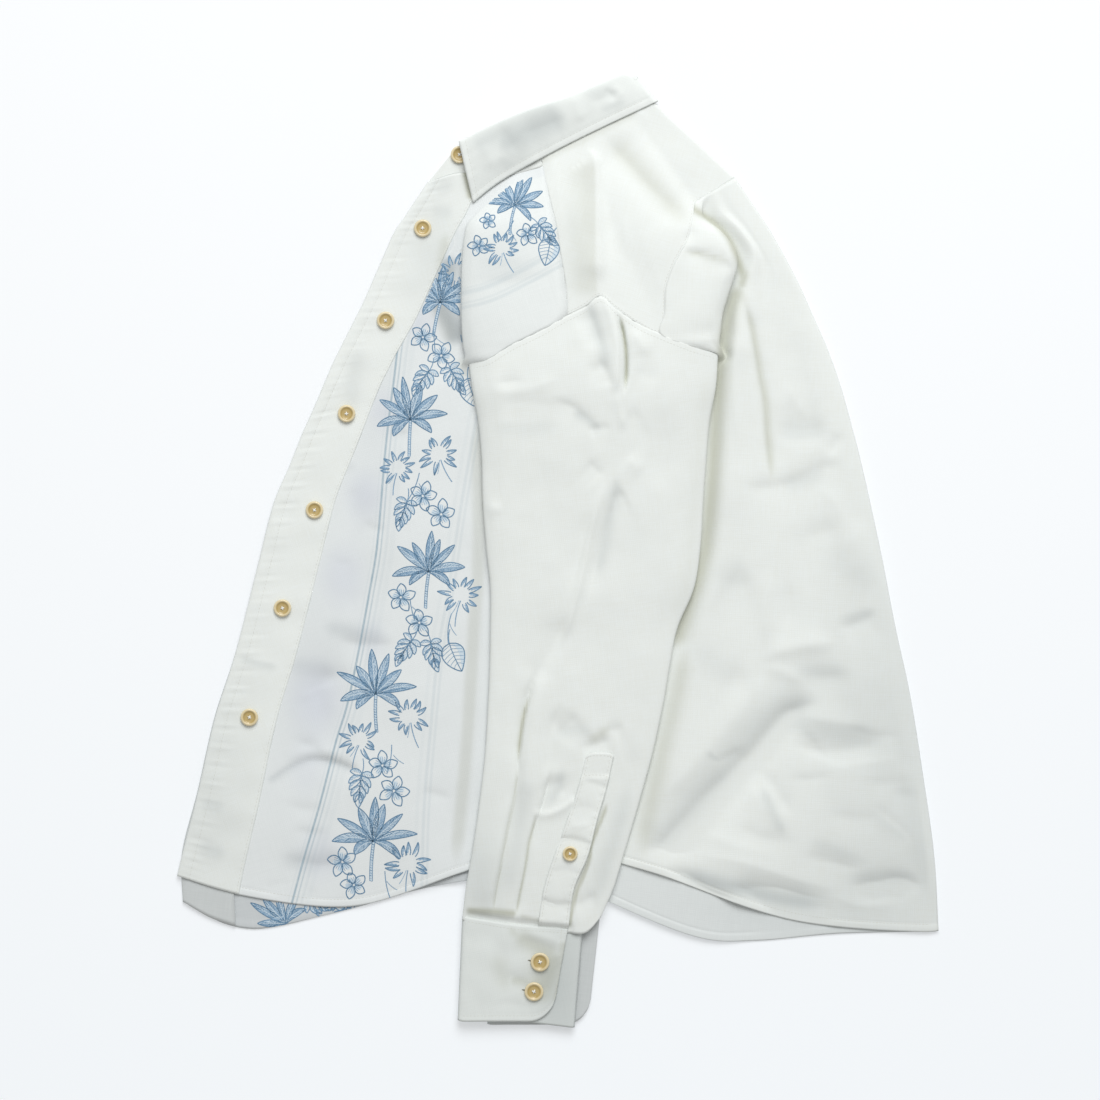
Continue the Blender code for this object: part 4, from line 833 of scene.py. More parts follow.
# Back above the side seam: top, crest, fold and under with their heights, the valley beside it, a
# ridge, the centre-back fold, the right half's edge, and a lift along the cloth
backSections = (
    (8.6, 124.5, 8.2, 127, 7.8, 130, 7.4, 134, 139, 6.6, 154, 326, 138, 293, 0),
    (15.5, 122, 14.5, 126, 11.5, 125, 8.5, 129.5, 141, 8, 167, 307, 131, 279, 0),
    (20, 135, 18.5, 143.5, 13.5, 138, 8, 147.5, 158, 8.4, 181, 286, 124, 264, 0),
    (22, 146, 19.5, 156, 13, 147, 7.2, 160.5, 171, 8.6, 195, 262, 112, 240, 0),
    (23.5, 140, 20.5, 149.5, 12.5, 138, 6.8, 153.5, 164, 9.5, 211, 231, 102, 219, 0),
    (24, 134, 20.5, 143, 12.5, 131, 6.8, 147.5, 158, 12, 222, 206, 95, 204, 1),
    (23.5, 131, 20, 141, 12.5, 129, 6.8, 145, 158, 13, 231, 186, 88, 190, 2.5),
    (22, 131, 20, 140, 13, 134, 7.4, 144.5, 156, 13.5, 238, 168, 100, 176, 5),
    (11.2, 141.9, 10, 143.3, 8.4, 144.7, 6.6, 146.6, 154, 13, 243, 154, 110, 160, 0),
    (5.3, 134.6, 5.2, 136, 5.2, 137.5, 5.2, 141, 152, 12.5, 247.8, 139, 105, 140, 0),
    (5.2, 106, 5.2, 115, 5.2, 125, 5.2, 137, 150, 12, 253, 120, 75, 120, 0))
backLiftShares = (0.4, 1.0, 1.0, 1.0, 0.7, 0.3, 0.0, 0.0)
backStarts = (*backYokeSeam[6::-1], *armholeSeam[10:], (133, 164, 5.5), (88, 132, 5.2))
# Below the armhole: valley beside the sleeve, ridge with its height, centre back, and follow
lowerBack = (
    (136, 149, 12, 261.5, 88, 0), (132.5, 146, 11.5, 272, 42, 0), (127, 140, 10.5, 282, -5, 0),
    (111, 125, 9.5, 293, -62, 0), (98, 113, 8.5, 306, -122, 0.2), (81, 99, 8, 317, -190, 0.45),
    (70, 91, 7.2, 327, -262, 0.8), (64, 88, 6.2, 331, -328, 1))


# The rolled centre back: its level at the fold, the level and width of the cloth rolling towards it
backFold = {"level": 5.4, "rollLevel": 6.4, "rollWidth": 13.0}


def foldPoints(x, y, level, lean):
    # Round the centre-back fold, from the left half above to the right half below
    reach = (level - levels["right"]) / 2
    middle = levels["right"] + reach
    places = ((-reach * 1.1, level), (-reach * 0.35, middle + reach * 0.75), (0.0, middle),
              (-reach * 0.35, middle - reach * 0.75), (-reach * 1.1, levels["right"]))
    return [[x + aside, y + aside * lean, z] for aside, z in places]


def backRows():
    rows = []
    gap, level = cloth["seamGap"], backFold["level"]
    rollLevel, rollWidth = backFold["rollLevel"], backFold["rollWidth"]
    for index, (start, s) in enumerate(zip(backStarts, backSections)):
        (topZ, crestX, crestZ, foldX, foldZ, underX, underZ, valleyX, ridgeX, ridgeZ, centreX, centreY,
         rightX, rightY, lift) = s
        rollX = centreX - rollWidth
        if index == 0:
            row = [[lerp(start[0], centreX - 4, t), lerp(start[1], centreY - 2.4, t),
                    lerp(start[2], level, t)]
                   for t in (0.0, 0.06, 0.13, 0.2, 0.28, 0.38, 0.52, 0.68, 0.84)]
        else:
            places = ((lerp(start[0], crestX, 0.5), topZ), (crestX, crestZ), (foldX, foldZ),
                      (underX, underZ), (valleyX, level), (ridgeX, ridgeZ),
                      (lerp(ridgeX, rollX, 0.5), 6.2), (rollX, rollLevel))
            row = [list(start)]
            for (x, z), lifted in zip(places, backLiftShares):
                share = min(max((x - start[0]) / (centreX - start[0]), 0.0), 1.0)
                row.append([x, lerp(start[1], centreY, share) + lift * lifted, z])
        over = levels["rightOverSleeve"] if index > 6 else levels["right"]
        startX = centreX - (8 if index else 0)
        startY = centreY - (4 if index else 0)
        right = [[lerp(startX, rightX, t), lerp(startY, rightY, t), levels["right"] if t < 0.6 else over]
                 for t in (0.3, 0.6, 0.8, 1.0)]
        row[0][0] += gap / 2
        row[0][1] += gap / 2 if index > 6 else -gap / 2
        rows.append(row + foldPoints(centreX, centreY, level, 0.6) + right)
    for p in rows[0][:-4]:
        p[1] -= gap
    for (valleyX, ridgeX, ridgeZ, centreX, centreY, follow), start in zip(lowerBack, sideSeam):
        over = levels["leftOverSleeve"]
        places = [(lerp(start[0], valleyX - 4, t), over) for t in (0.0, 0.25, 0.45, 0.65, 0.82)]
        places += [(valleyX, over + 0.2), (ridgeX, ridgeZ),
                   (lerp(ridgeX, centreX - rollWidth, 0.5), rollLevel),
                   (centreX - rollWidth, rollLevel)]
        row = [[x, sectionY(x, start[0], start[1], centreX, centreY, leftBackHem, follow), z]
               for x, z in places]
        drop = lerp(start[1], -284, max(follow - 0.2, 0) / 0.8)
        places = ((lerp(centreX - 8, 175, 0.55), levels["right"]), (172, levels["right"]),
                  (126, levels["rightOverSleeve"]), (start[0], levels["rightOverSleeve"]))
        right = [[x, sectionY(x, start[0], drop, centreX, centreY, rightBackHem, follow), z]
                 for x, z in places]
        row[0][0] += gap / 2
        rows.append(row + foldPoints(centreX, centreY, level, 0.2) + right)
    for p in rows[-1][-4:]:
        p[1] = heightOn(rightBackHem, p[0])
    return np.array(rows, float)


# Back
backCloth = {"creases": (
    ((70, -262, 98, -250, 118, -232, 137, -210, 155, -192, 172, -175, 190, -153, 207, -136, 233, -128),
     -7.5, 10, 13, 2, 0.2),
    ((135, -181, 148, -175.5, 162, -167), -1.4, 2.6, 5, 1.6, 0.35),
    ((75, -222, 110, -192, 140, -158, 165, -128, 185, -106), 3, 20, 13, 2, 0.3),
    ((174, -93, 204, -82, 246, -77), 3, 12, 9, 2, 0.35),
    ((210, -105, 234, -108, 256, -104), -2.4, 9, 14, 2), ((178, -97, 196, -103, 214, -113), 1.6, 8, 7),
    ((183, -8, 182, -50, 181, -88), 1.5, 6, 6, 1.9, 0.35), ((199, -20, 200, -45, 199, -70), -1.2, 7),
    ((140, -22, 156, -28, 174, -24), -2.4, 17, 20, 2, 0.45),
    ((144, -104, 156.5, -110, 170, -107), -1.4, 14, 17, 2, 0.45),
    ((242, -66, 262, -59, 281, -50), -1.8, 4.5, 9, 1.7, 0.35),
    ((202, -164, 225, -171, 250, -171, 287, -163), -3.6, 14, 8, 2, 0.3),
    ((199, -169, 225, -178, 241, -185, 269, -182, 301, -177), 0.7, 4, 7, 1.8, 0.3),
    ((199, -195, 218, -196, 240, -192), -1.6, 5, 9, 1.7, 0.35),
    ((174, -184, 190, -206, 206, -232), -1.7, 6, 4, 1.7, 0.35),
    ((163, -198, 181, -221, 199, -246), 1.1, 7, 9, 1.9, 0.3),
    ((122, -220, 148, -207, 170, -199), -1.6, 5, 9, 1.8, 0.35),
    ((212, -261, 234, -267, 264, -275), -2, 7, 10, 1.8, 0.35),
    ((272, -216, 290, -231, 310, -250), -1.2, 4, 7, 1.7, 0.3),
    ((270, -223, 286, -237, 303, -252), 0.6, 5, 6, 1.8, 0.35),
    ((288, -206, 306, -210, 316, -209), -1.2, 5, 8, 1.8),
    ((90, -272, 113, -281, 134, -294, 160, -302), -2.8, 7, 4.5, 1.8, 0.3),
    ((146, -288, 178, -295, 200, -303, 222, -313, 245, -317), -4.2, 11, 6, 1.9, 0.25),
    ((252, -288, 280, -288, 292, -285, 320, -289), -2.8, 7, 7, 1.9, 0.3),
    ((120, -262, 160, -268, 210, -284, 250, -294), 2, 11, 11, 2, 0.35),
    ((159, 226, 165, 205, 170, 190, 174, 170, 178, 150, 182, 120, 184.5, 90, 186, 58), -4.2, 7, 3.6, 1.7,
     0.2),
    ((157, 220, 154, 180, 153, 148, 155, 110, 157, 80), 1.2, 5, 4, 1.9, 0.3),
    ((186, 112, 212, 108, 238, 112), -2.8, 34, 5, 2, 0.35),
    ((155, 58, 172, 57, 186, 58, 205, 63, 227, 74, 252, 78), -2.4, 6.5, 11, 1.8, 0.28),
    ((248, 106, 242, 95, 235, 83), -1.4, 3.5, 5, 1.7), ((206, 13, 228, 17, 248, 24), -2.2, 11, 15, 2),
    ((250, 40, 262, 0, 270, -40), 1.6, 14, 18, 2),
    ((108, 261.5, 122, 260.5, 136, 256.5, 150, 252), -2.4, 2.4, 6, 1.5, 0.22),
    ((134, 256.5, 144, 251, 152.5, 244), -1.8, 2.2, 4.5, 1.5, 0.3),
    ((107, 268, 114, 276, 118, 284), -1.4, 2.6, 4, 1.6),
    ((210, -140, 240, -146, 276, -150), 1.2, 8, 6, 1.9, 0.35),
    ((250, -150, 274, -158, 300, -158), -1, 4, 7, 1.8, 0.35),
    ((150, -232, 176, -246, 214, -252), -1.1, 6, 8, 1.9, 0.35),
    ((120, -240, 150, -252, 190, -262), 0.9, 7, 9, 1.9, 0.35),
    ((262, -196, 284, -200, 312, -196), -1.1, 5, 7, 1.8, 0.35),
    ((230, -224, 258, -230, 286, -228), -1, 5, 8, 1.9, 0.35), ((292, -120, 298, -150, 306, -186), 1, 7, 8),
    ((224, 60, 240, 44, 252, 20), 1.1, 9), ((196, 150, 208, 130, 222, 112), 0.9, 9, 8),
    ((188, 250, 206, 214, 218, 180), -1, 10, 9), ((200, 30, 214, -4, 222, -40), -1, 9, 10),
    ((236, -296, 262, -306, 300, -304), 0.8, 6, 7, 1.9, 0.3),
    ((129.5, 205, 131, 193, 133.5, 184, 139, 175), -1.2, 2.2, 3.4, 1.6, 0.35)
), "foldTints": (
    ((109, 305, 120, 297, 136, 287, 147, 275, 154, 261, 160, 245, 161, 233), 0.75, 3.5, 3.5, 2.2, 0.12),
    ((162, 238, 154, 226, 148.5, 210, 144.5, 193, 141.5, 171, 139.5, 149, 137.5, 126, 135, 90, 133, 60,
     130.5, 30, 127, 4, 120, -24, 111, -50, 104, -72, 100, -86), 0.68, 8.5, 4.5, 2.2, 0.05),
    ((163, 249, 162, 239, 158, 228), 0.6, 3.6, 4.5),
    ((162, 222, 169, 193, 173, 171, 176, 153, 180, 133, 182, 104, 185, 76, 186, 58), 0.46, 4, 3, 2, 0.15),
    ((109, 261, 122, 260, 136, 256, 150, 252), 0.4, 1.3, 3.4, 2, 0.2),
    ((113, -56, 106, -68, 100, -84), 0.5, 5),
    ((112, -76, 104, -120, 92, -170, 80, -222, 72, -268), 0.36, 8, 8, 2, 0.15)
), "dipTints": (
    ((78, -258, 105, -233, 128, -208, 148, -184, 170, -158, 190, -138, 206, -129, 228, -124), 0.26, 17, 10,
     2, 0.1),
    ((96, -275, 125, -283, 160, -292, 196, -301, 242, -306), 0.54, 9, 6, 2, 0.2),
    ((246, -282, 284, -279, 324, -281), 0.26, 6, 7), ((190, -146, 235, -156, 288, -162), 0.2, 12, 9),
    ((196, -97, 226, -103, 262, -104), 0.18, 8, 9, 2, 0.35),
    ((238, -59, 258, -54, 280, -47), 0.22, 3.6, 8, 2, 0.35),
    ((226, 8, 252, -8, 280, -30), 0.1, 14, 14, 2, 0.35),
    ((128, -10, 150, -17, 172, -14), 0.13, 14, 16, 2, 0.4),
    ((112, -72, 134, -96, 166, -112), 0.12, 14, 12, 2, 0.35),
    ((176, -200, 186, -222, 199, -248), 0.3, 4, 5, 2, 0.25),
    ((270, -222, 290, -238, 310, -254), 0.2, 3.4, 4.5), ((128, -170, 136, -177, 144, -182), 0.34, 3, 4),
    ((212, -246, 244, -258, 276, -272), 0.2, 5, 7), ((186, 106, 212, 103, 240, 108), 0.26, 12, 5),
    ((190, 60, 210, 64, 236, 76), 0.22, 5, 8), ((296, -190, 312, -240, 322, -300), 0.16, 12, 10, 2, 0.2)
), "shadeSpots": (
    (300, -170, 75, 190, 0.26), (230, -310, 120, 34, 0.23)
), "settling": {
    "reach": 95, "low": 1.75, "start": 150, "full": 205, "keep": ((126, 4.25), (172, 1.45))
}}


def back():
    rows = backRows()
    last = rows.shape[1] - 2
    grid, across, _ = fineGrid(rows, 3.1, 3.2, hidden=(1, last - 2), fine=(9, 10, 11, 12),
                               fineRows=(17,), fineCell=1.4)
    settle(grid, backCloth, across < 11.0)
    addRelief(grid, 1.0 - smoothStep((across - 8.2) / 0.8), backCloth, yokeCloth)
    sewEdge(grid, "bottom", seams["hem"], 0.3, 0.35, 0.16, seed=23, mask=across < 11.0)
    sewEdge(grid, "bottom", seams["underHem"], 0.25, 0.35, 0.2, seed=24, mask=across > 13.0)
    keepAbove(grid, backCloth, (across < 8.3) & (grid[..., 1] < 60.0))
    grid[..., 2] = np.maximum(grid[..., 2], cloth["thickness"] / 2 + 0.02)
    piece = clothPiece("back", grid, "body")
    # The right half's under layer takes the darker under linen: painted shade beneath the left half
    piece.data.materials.append(materials["under"])
    paintFoldShade(piece, grid, backCloth, (across < 8.6) * 1.0)
    underneath = (across[:-1, :-1] > 11.5).reshape(-1).astype(np.int32)
    piece.data.polygons.foreach_set("material_index", underneath)
    return grid, across


# Neck seam from the front edge to the centre back, and the collar
neckSeam = (
    (-113, 322, 3.7), (-88, 330, 3.9), (-60, 327.5, 4.4), (-36, 329.5, 5.8), (-13.4, 336.5, 7.5),
    (-13.4, 346, 7.4), (5, 357, 7), (29, 369.5, 6.4), (54, 381.5, 5.6), (70, 389, 5))
neckCentre = (81.2, 394.2, 3.4)
frontNeckEnd = 4
standTop = (
    (-94, 345), (-85, 352.5), (-63, 361.5), (-42, 370.5), (-24, 378), (-12, 383), (4, 389), (24, 397),
    (44, 406), (58, 411.5))
standCentre = (64.5, 410.5)
# Collar leaf: its folded upper edge and its outer edge, each as x, y and height
collarSections = (
    (-85.5, 356.5, 12, -73.5, 304.5, 7.6), (-66, 366, 15, -58, 317, 9.2), (-45, 375.5, 17, -43, 327, 10),
    (-22, 384.5, 17.5, -19.5, 340, 9.8), (0, 392, 16, 5, 353, 9), (22, 400.5, 13.5, 30, 365.5, 8.4),
    (42, 409.5, 11, 56, 378, 7.6), (58, 416.5, 8.4, 73, 386, 7))
collarCentre = (68.0, 415.0, 3.4, 87.4, 392.8, 3.8)
leafGap = {"over": 1.15, "reach": 13.0, "search": 3.5}


# Yoke
yokeCloth = {"creases": (
    ((22, 352, 32, 344, 35, 318, 35.5, 280, 38, 232), 3.8, 4, 12, 1.8, 0.15),
    ((22, 342, 22, 300, 23, 250), -1.3, 10, 12, 1.9, 0.3),
    ((36, 366, 58, 342, 80, 318, 104, 296, 118, 282), -5.2, 18, 9, 2, 0.25),
    ((44, 300, 47, 276, 50, 250), -1, 5), ((62, 305, 58, 280, 62, 250), 1.2, 7, 6),
    ((92, 372, 112, 352, 136, 330), 1.6, 12, 10, 2), ((-2, 345, 2, 300, 6, 260), 0.6, 7, 6)
), "foldTints": (
    ((-20, 337, 4, 350, 30, 363, 56, 376, 72, 384), 0.24, 3.4, 3, 2.2, 0.1),
    ((40, 362, 63, 340, 88, 312, 107, 291, 117, 283), 0.3, 9, 8, 2, 0.2),
    ((30, 346, 31, 300, 31, 250, 33, 216), 0.26, 2.2, 20, 2.6, 0.12)
), "shadeSpots": (
    (14, 275, 14, 50, 0.12),
)}


def yoke():
    gap = cloth["seamGap"]
    outer = [[x, y + gap / 2, z] for x, y, z in armholeSeam[4:9]]
    outer += [[x - gap / 2, y + gap / 2, z] for x, y, z in backYokeSeam[:-1]]
    outer.insert(-1, [lerp(a, b, 0.5) for a, b in zip(outer[-2], outer[-1])])
    neckCurve = smoothCurve([[x, y - gap / 2, z] for x, y, z in neckSeam[frontNeckEnd + 1:]], 4)
    rises = (0.0, 0.07, 0.26, 0.43, 0.6, 0.8, 0.94, 1.0)
    shares = (0.0, 0.06, 0.20, 0.31, 0.42, 0.61, 0.80, 1.0)
    columns = []
    for index, low in enumerate(outer):
        top = neckCurve[round(index * (len(neckCurve) - 1) / (len(outer) - 1))]
        if index == 0:
            column = [list(top)] + [[x + gap / 2, y + gap / 2, z] for x, y, z in frontYokeSeam]
        else:
            column = [[lerp(top[0], low[0], t), lerp(top[1], low[1], t), lerp(top[2], low[2], rise)]
                      for t, rise in zip(shares, rises)]
        columns.append(column)
    endX, endY, _ = backYokeSeam[-1]
    folds = []
    for share in shares:
        x = lerp(neckCentre[0] + 0.3, endX - 0.2, share)
        y = lerp(neckCentre[1] - 0.3, endY + 0.4, share)
        level = levels["right"] if share > 0.19 else 1.9
        reach = (5.2 - level) / 2
        middle = level + reach
        folds.append([[x - reach * 1.1, y - reach * 0.7, 5.2],
                      [x - reach * 0.3, y - reach * 0.2, middle + reach * 0.75], [x, y, middle],
                      [x - reach * 0.3, y - reach * 0.2, middle - reach * 0.75],
                      [x - reach * 1.1, y - reach * 0.7, level]])
    overCollar, right = levels["rightOverCollar"], levels["right"]
    rightOuter = ((137.8, 293.1), (112.1, 240.1), (87.8, 190.3), (48.0, 200.0))
    rightNeck = [(x, y - gap / 2) for x, y, _ in neckSeam[:frontNeckEnd:-1]]
    rightColumns = []
    for (topX, topY), (lowX, lowY) in zip(rightNeck, rightOuter):
        rightColumns.append([[lerp(topX, lowX, t), lerp(topY, lowY, t), overCollar if t < 0.1 else right]
                             for t in shares])
    topX, topY = rightNeck[-1]
    rightColumns.append([[topX, topY, overCollar]] + [
        [x + 0.4, y, overCollar if y > 310 else right] for x, y, _ in frontYokeSeam])
    rows = [[c[i] for c in columns] + folds[i] + [c[i] for c in rightColumns] for i in range(len(shares))]
    turn = len(columns)
    grid, across, _ = fineGrid(rows, 2.4, 2.4, hidden=range(turn + 4, turn + 9),
                               fine=range(turn, turn + 4), fineCell=1.0)
    top = 1.0 - smoothStep((across - (turn - 1.6)) / 1.2)
    addRelief(grid, top, yokeCloth, backCloth, sleeveCloth)
    sinkEdge(grid, "left", 0.15, 1.4, 0.05, seed=33, mask=top)
    sinkEdge(grid, "bottom", 0.15, 1.4, 0.06, seed=34, mask=top)
    paintFoldShade(clothPiece("yoke", grid, "yoke"), grid, yokeCloth, top)
    return grid


# Left sleeve below its head: its two edges, swell, level, and the two sides of the placket
sleeveSections = (
    (-73, 142, 136.5, 145, 20.5, 6.8, 0.575, 0.765), (-68, 115, 131, 115, 18.5, 6.8, 0.57, 0.77),
    (-65, 82, 128, 80, 16.5, 6.8, 0.56, 0.77), (-64, 45, 125.5, 45, 14.5, 6.8, 0.56, 0.78),
    (-61, 5, 123, 5, 13, 6.8, 0.56, 0.78), (-57.5, -30, 117.5, -30, 12, 6.8, 0.57, 0.78),
    (-57.5, -65, 103, -65, 10.5, 6.8, 0.58, 0.78), (-58, -95, 97, -95, 10, 6.8, 0.59, 0.78),
    (-59.5, -130, 91, -130, 9.5, 6.8, 0.6, 0.78), (-62, -172, 82, -172, 9, 6.8, 0.605, 0.77),
    (-65, -200, 74.5, -200, 8.5, 6.8, 0.6, 0.775), (-69, -230, 66, -230, 8, 6.8, 0.575, 0.765),
    (-74, -262, 56.5, -262, 7.5, 6.8, 0.545, 0.765), (-79, -290, 48, -290, 6.5, 6.3, 0.53, 0.735),
    (-82, -315, 38.5, -324, 5, 5.6, 0.535, 0.755))
sleeveShares = (0.0, 0.08, 0.17, 0.29, 0.39, 0.465, 0.53, 0.59, 0.68, 0.765, 0.88, 1.0)
slit = {"from": 7, "to": 9, "topSection": 10}
underHead = ((124, 148), (98, 126), (66, 110), (34, 103), (2, 106), (-28, 120), (-56, 140))
sleeveEdges = {"left": 5.4, "right": 5.6, "end": 2.8}


# Sleeve's seam with its cuff, and where its free corner turns up
cuffSeam = ((-84, -314.2), (-55, -319), (-30, -322.6), (8, -325.6), (38, -333))
sleeveCorner = (
    (-84, -314.2), (-55, -319), (-30, -322.6), (8, -326.4), (19, -330), (28, -326.5), (40, -311))
cuffTuck = {"depth": 3.5, "level": 8.0, "reach": 11.0}


def sleeveRows():
    gap = cloth["seamGap"]
    head = [[x, y - gap / 2, z] for x, y, z in armholeSeam]
    head[0][0] += 0.8
    head[-1][0] -= 0.8
    head.append([head[-1][0] - 2.1, head[-1][1] - 2.2, head[-1][2] - 1.6])
    head += [[x, y, levels["sleeve"]] for x, y in underHead]
    head.append([head[0][0] + 2.2, head[0][1] - 2.2, head[0][2] - 1.3])
    rows = [head]
    for number, (leftX, leftY, rightX, rightY, swell, level, slit1, slit2) in enumerate(sleeveSections):
        blend = min(number / slit["topSection"], 1.0)
        row = []
        for index, share in enumerate(sleeveShares):
            if slit["from"] <= index <= slit["to"]:
                between = (index - slit["from"]) / (slit["to"] - slit["from"])
                share = lerp(share, lerp(slit1, slit2, between), blend)
            elif index < slit["from"]:
                share = share * lerp(1.0, slit1 / sleeveShares[slit["from"]], blend)
            rise = (1.0 - abs(2.0 * share - 1.0) ** 3.2) ** 0.6
            edge = lerp(lerp(sleeveEdges["left"], sleeveEdges["right"], share), sleeveEdges["end"],
                        number / 14)
            x, y = lerp(leftX, rightX, share), lerp(leftY, rightY, share)
            if number == len(sleeveSections) - 1:
                y = heightOn(sleeveCorner, x) - cuffTuck["depth"] * smoothStep((14.0 - x) / 8.0)
            row.append([x, y, level + edge + (swell - edge) * rise])
        rightY = row[-1][1]
        row.append([rightX - 0.6, rightY, level + 0.2])
        for index, (headX, headY) in enumerate(underHead):
            share = 1.0 - (index + 1) / (len(underHead) + 1)
            row.append([lerp(headX, lerp(leftX, rightX, share), min(number / 5, 1.0)),
                        min(lerp(leftY, rightY, share), headY - 7.0 * (number + 1)), level])
        row.append([leftX + 0.6, leftY, level + 0.2])
        rows.append(row)
    return np.array(rows, float)


# Left sleeve
sleeveCloth = {"creases": (
    ((38, 226, 46, 206, 51, 186, 51.5, 160, 50, 134), 2.8, 2.6, 6, 1.7, 0.2),
    ((50, 210, 56, 192, 59, 176, 59.5, 158, 57.5, 136), -6.5, 1.7, 1.9, 1.8, 0.25),
    ((62, 196, 70, 184, 80, 168), 2, 8, 8, 2), ((64, 160, 76, 153, 90, 150), -1.4, 12, 8, 2),
    ((24, 216, 32, 196, 40, 172), -3, 7, 9, 1.9, 0.35), ((12, 205, 18, 190, 20, 172), 0.8, 7),
    ((23, 160, 33, 161, 43, 166), -1, 4, 6, 1.7, 0.35),
    ((36, 168, 43, 156, 47, 142), -1.4, 3, 6, 1.7, 0.3),
    ((50, 142, 53, 122, 60, 104), 1.2, 4.6, 5.2, 1.7, 0.3), ((57, 120, 65, 117, 74, 121), -0.9, 10, 8),
    ((-8, 134, 12, 127, 26, 117, 38, 111), -1.9, 4, 9, 1.7, 0.35),
    ((24, 106, 34, 109, 48, 109), -1.2, 2.4, 4.5, 1.6, 0.3),
    ((-62, 139, -27, 141, 4, 153), 0.9, 7, 5, 1.9, 0.3), ((-55, 147, -41, 148, -27, 150), -1.2, 5, 4, 1.8),
    ((-54, 130, -23, 130, 11, 125), -0.7, 6, 11, 1.9, 0.3), ((-66, 37, -56, 39, -46, 36), 1.5, 6, 8),
    ((25, 81, 33, 73, 41, 65), -1.4, 4.5, 7, 1.7, 0.35),
    ((43, 68, 34, 38, 27, 12, 21, -19, 12, -54, 2, -84), 2.3, 3.6, 4.2, 1.8, 0.18),
    ((31, 44, 25, 20, 18, -8, 8, -40), -1.6, 4, 7, 1.8, 0.35),
    ((54, 62, 48, 39, 40, 17, 31, -13, 27, -44), -2.1, 7, 4.6, 1.8, 0.25),
    ((44, 48, 52, 49, 60, 53), -1.6, 7, 7, 1.8), ((58, 84, 67, 76, 76, 70), 1.5, 10, 10, 2),
    ((90, 130, 92, 90, 88, 50), -1.6, 14, 14, 2), ((-20, 90, -6, 40, -10, -10), -1.5, 20, 20, 2),
    ((10, -50, -3, -78, -14, -100, -23, -120), -2.8, 7, 8, 1.9, 0.3),
    ((-16, -96, -25, -124, -30, -144, -32.5, -164, -36, -196), -5, 1.8, 3.4, 1.7, 0.3),
    ((-8, -98, -18, -130, -23, -160, -27, -200, -34, -240), 2.2, 8, 4.4, 1.9, 0.3),
    ((-33, -168, -36.4, -206, -43.7, -243, -51, -282, -57, -316), -2.8, 3.4, 1.6, 1.5, 0.15),
    ((-39, -205, -48, -243, -55, -282, -61, -312), 1.3, 2.6, 8, 1.8, 0.2),
    ((4, -128, -5, -150, -8, -176, -10, -200), -2, 10, 4, 1.9, 0.3),
    ((-5, -186, -9, -202, -14, -220, -21, -240, -25, -252, -28, -272, -33, -297, -37, -318), -3.4, 3.6,
     1.7, 1.5, 0.12),
    ((-23, -223, -12, -226, 0, -222.5, 10, -216.5, 17, -210), 1.8, 2.2, 4, 1.8, 0.15),
    ((-4, -190, 3, -204, 10, -212), -1.8, 9, 8), ((18, -168, 34, -165, 49, -159), -2.8, 6.5, 9, 1.8, 0.35),
    ((39, -153, 49, -152.5, 59, -150), -1.8, 5.5, 8, 1.8),
    ((-4, -160, 8, -149, 20, -138), -2, 7.5, 7, 1.9, 0.35),
    ((10, -306, 22, -302, 36, -294), -1.6, 5.5, 5, 1.8, 0.35), ((60, -150, 64, -190, 58, -230), -1.2, 8)
), "foldTints": (
    ((54, 208, 57, 192, 59, 176, 59.5, 158, 58, 138), 0.85, 1.5, 1.8, 2.2, 0.2),
    ((-22, -118, -28, -136, -31, -152, -33, -168, -34.5, -186), 0.85, 1.6, 1.9, 2.2),
    ((-34.5, -182, -37, -210, -44, -243, -51, -282, -57, -314), 0.42, 0.9, 1.3, 2, 0.1),
    ((-18, -222, -22, -240, -25, -252, -28, -272, -33, -297, -37, -318), 0.6, 1.4, 1.2, 2.2, 0.15),
    ((44, -214, 41, -224, 34, -241, 29.5, -253, 28, -265, 22.5, -280, 17.5, -292, 13, -309, 10, -328), 0.7,
     1.2, 2.6, 2.2, 0.08),
    ((24, -160, 34, -159, 46, -148), 0.25, 4),
    ((133, 160, 128, 115, 124.5, 80, 122, 45, 119.5, 5, 114, -30, 100, -66), 0.15, 5, 8, 2, 0.1),
    ((-82, -309, -56, -310, -34, -312), 0.7, 2.6, 3.6, 2.2, 0.1),
    ((-34, -313, -16, -318, 6, -322), 0.3, 1.6, 2.4, 2, 0.1)
), "dipTints": (
    ((26, 224, 32, 202, 38, 182, 45, 152), 0.34, 5, 6, 2, 0.25),
    ((12, 125, 26, 116, 40, 106), 0.36, 2.6, 5, 2, 0.25),
    ((53, 72, 47, 42, 41, 10, 34, -24), 0.28, 6, 5, 2, 0.2), ((-60, 112, -30, 108, 8, 112), 0.14, 6, 8),
    ((66, -196, 52, -240, 40, -276, 30, -308), 0.24, 10, 9, 2, 0.2),
    ((-26, -186, -33, -238, -44, -300), 0.2, 8, 8, 2, 0.2), ((6, -182, 0, -205, -10, -222), 0.26, 4, 6),
    ((-6, -162, 12, -152, 34, -158), 0.22, 6)
), "shadeSpots": (
    (-68, -285, 22, 60, 0.32),
)}


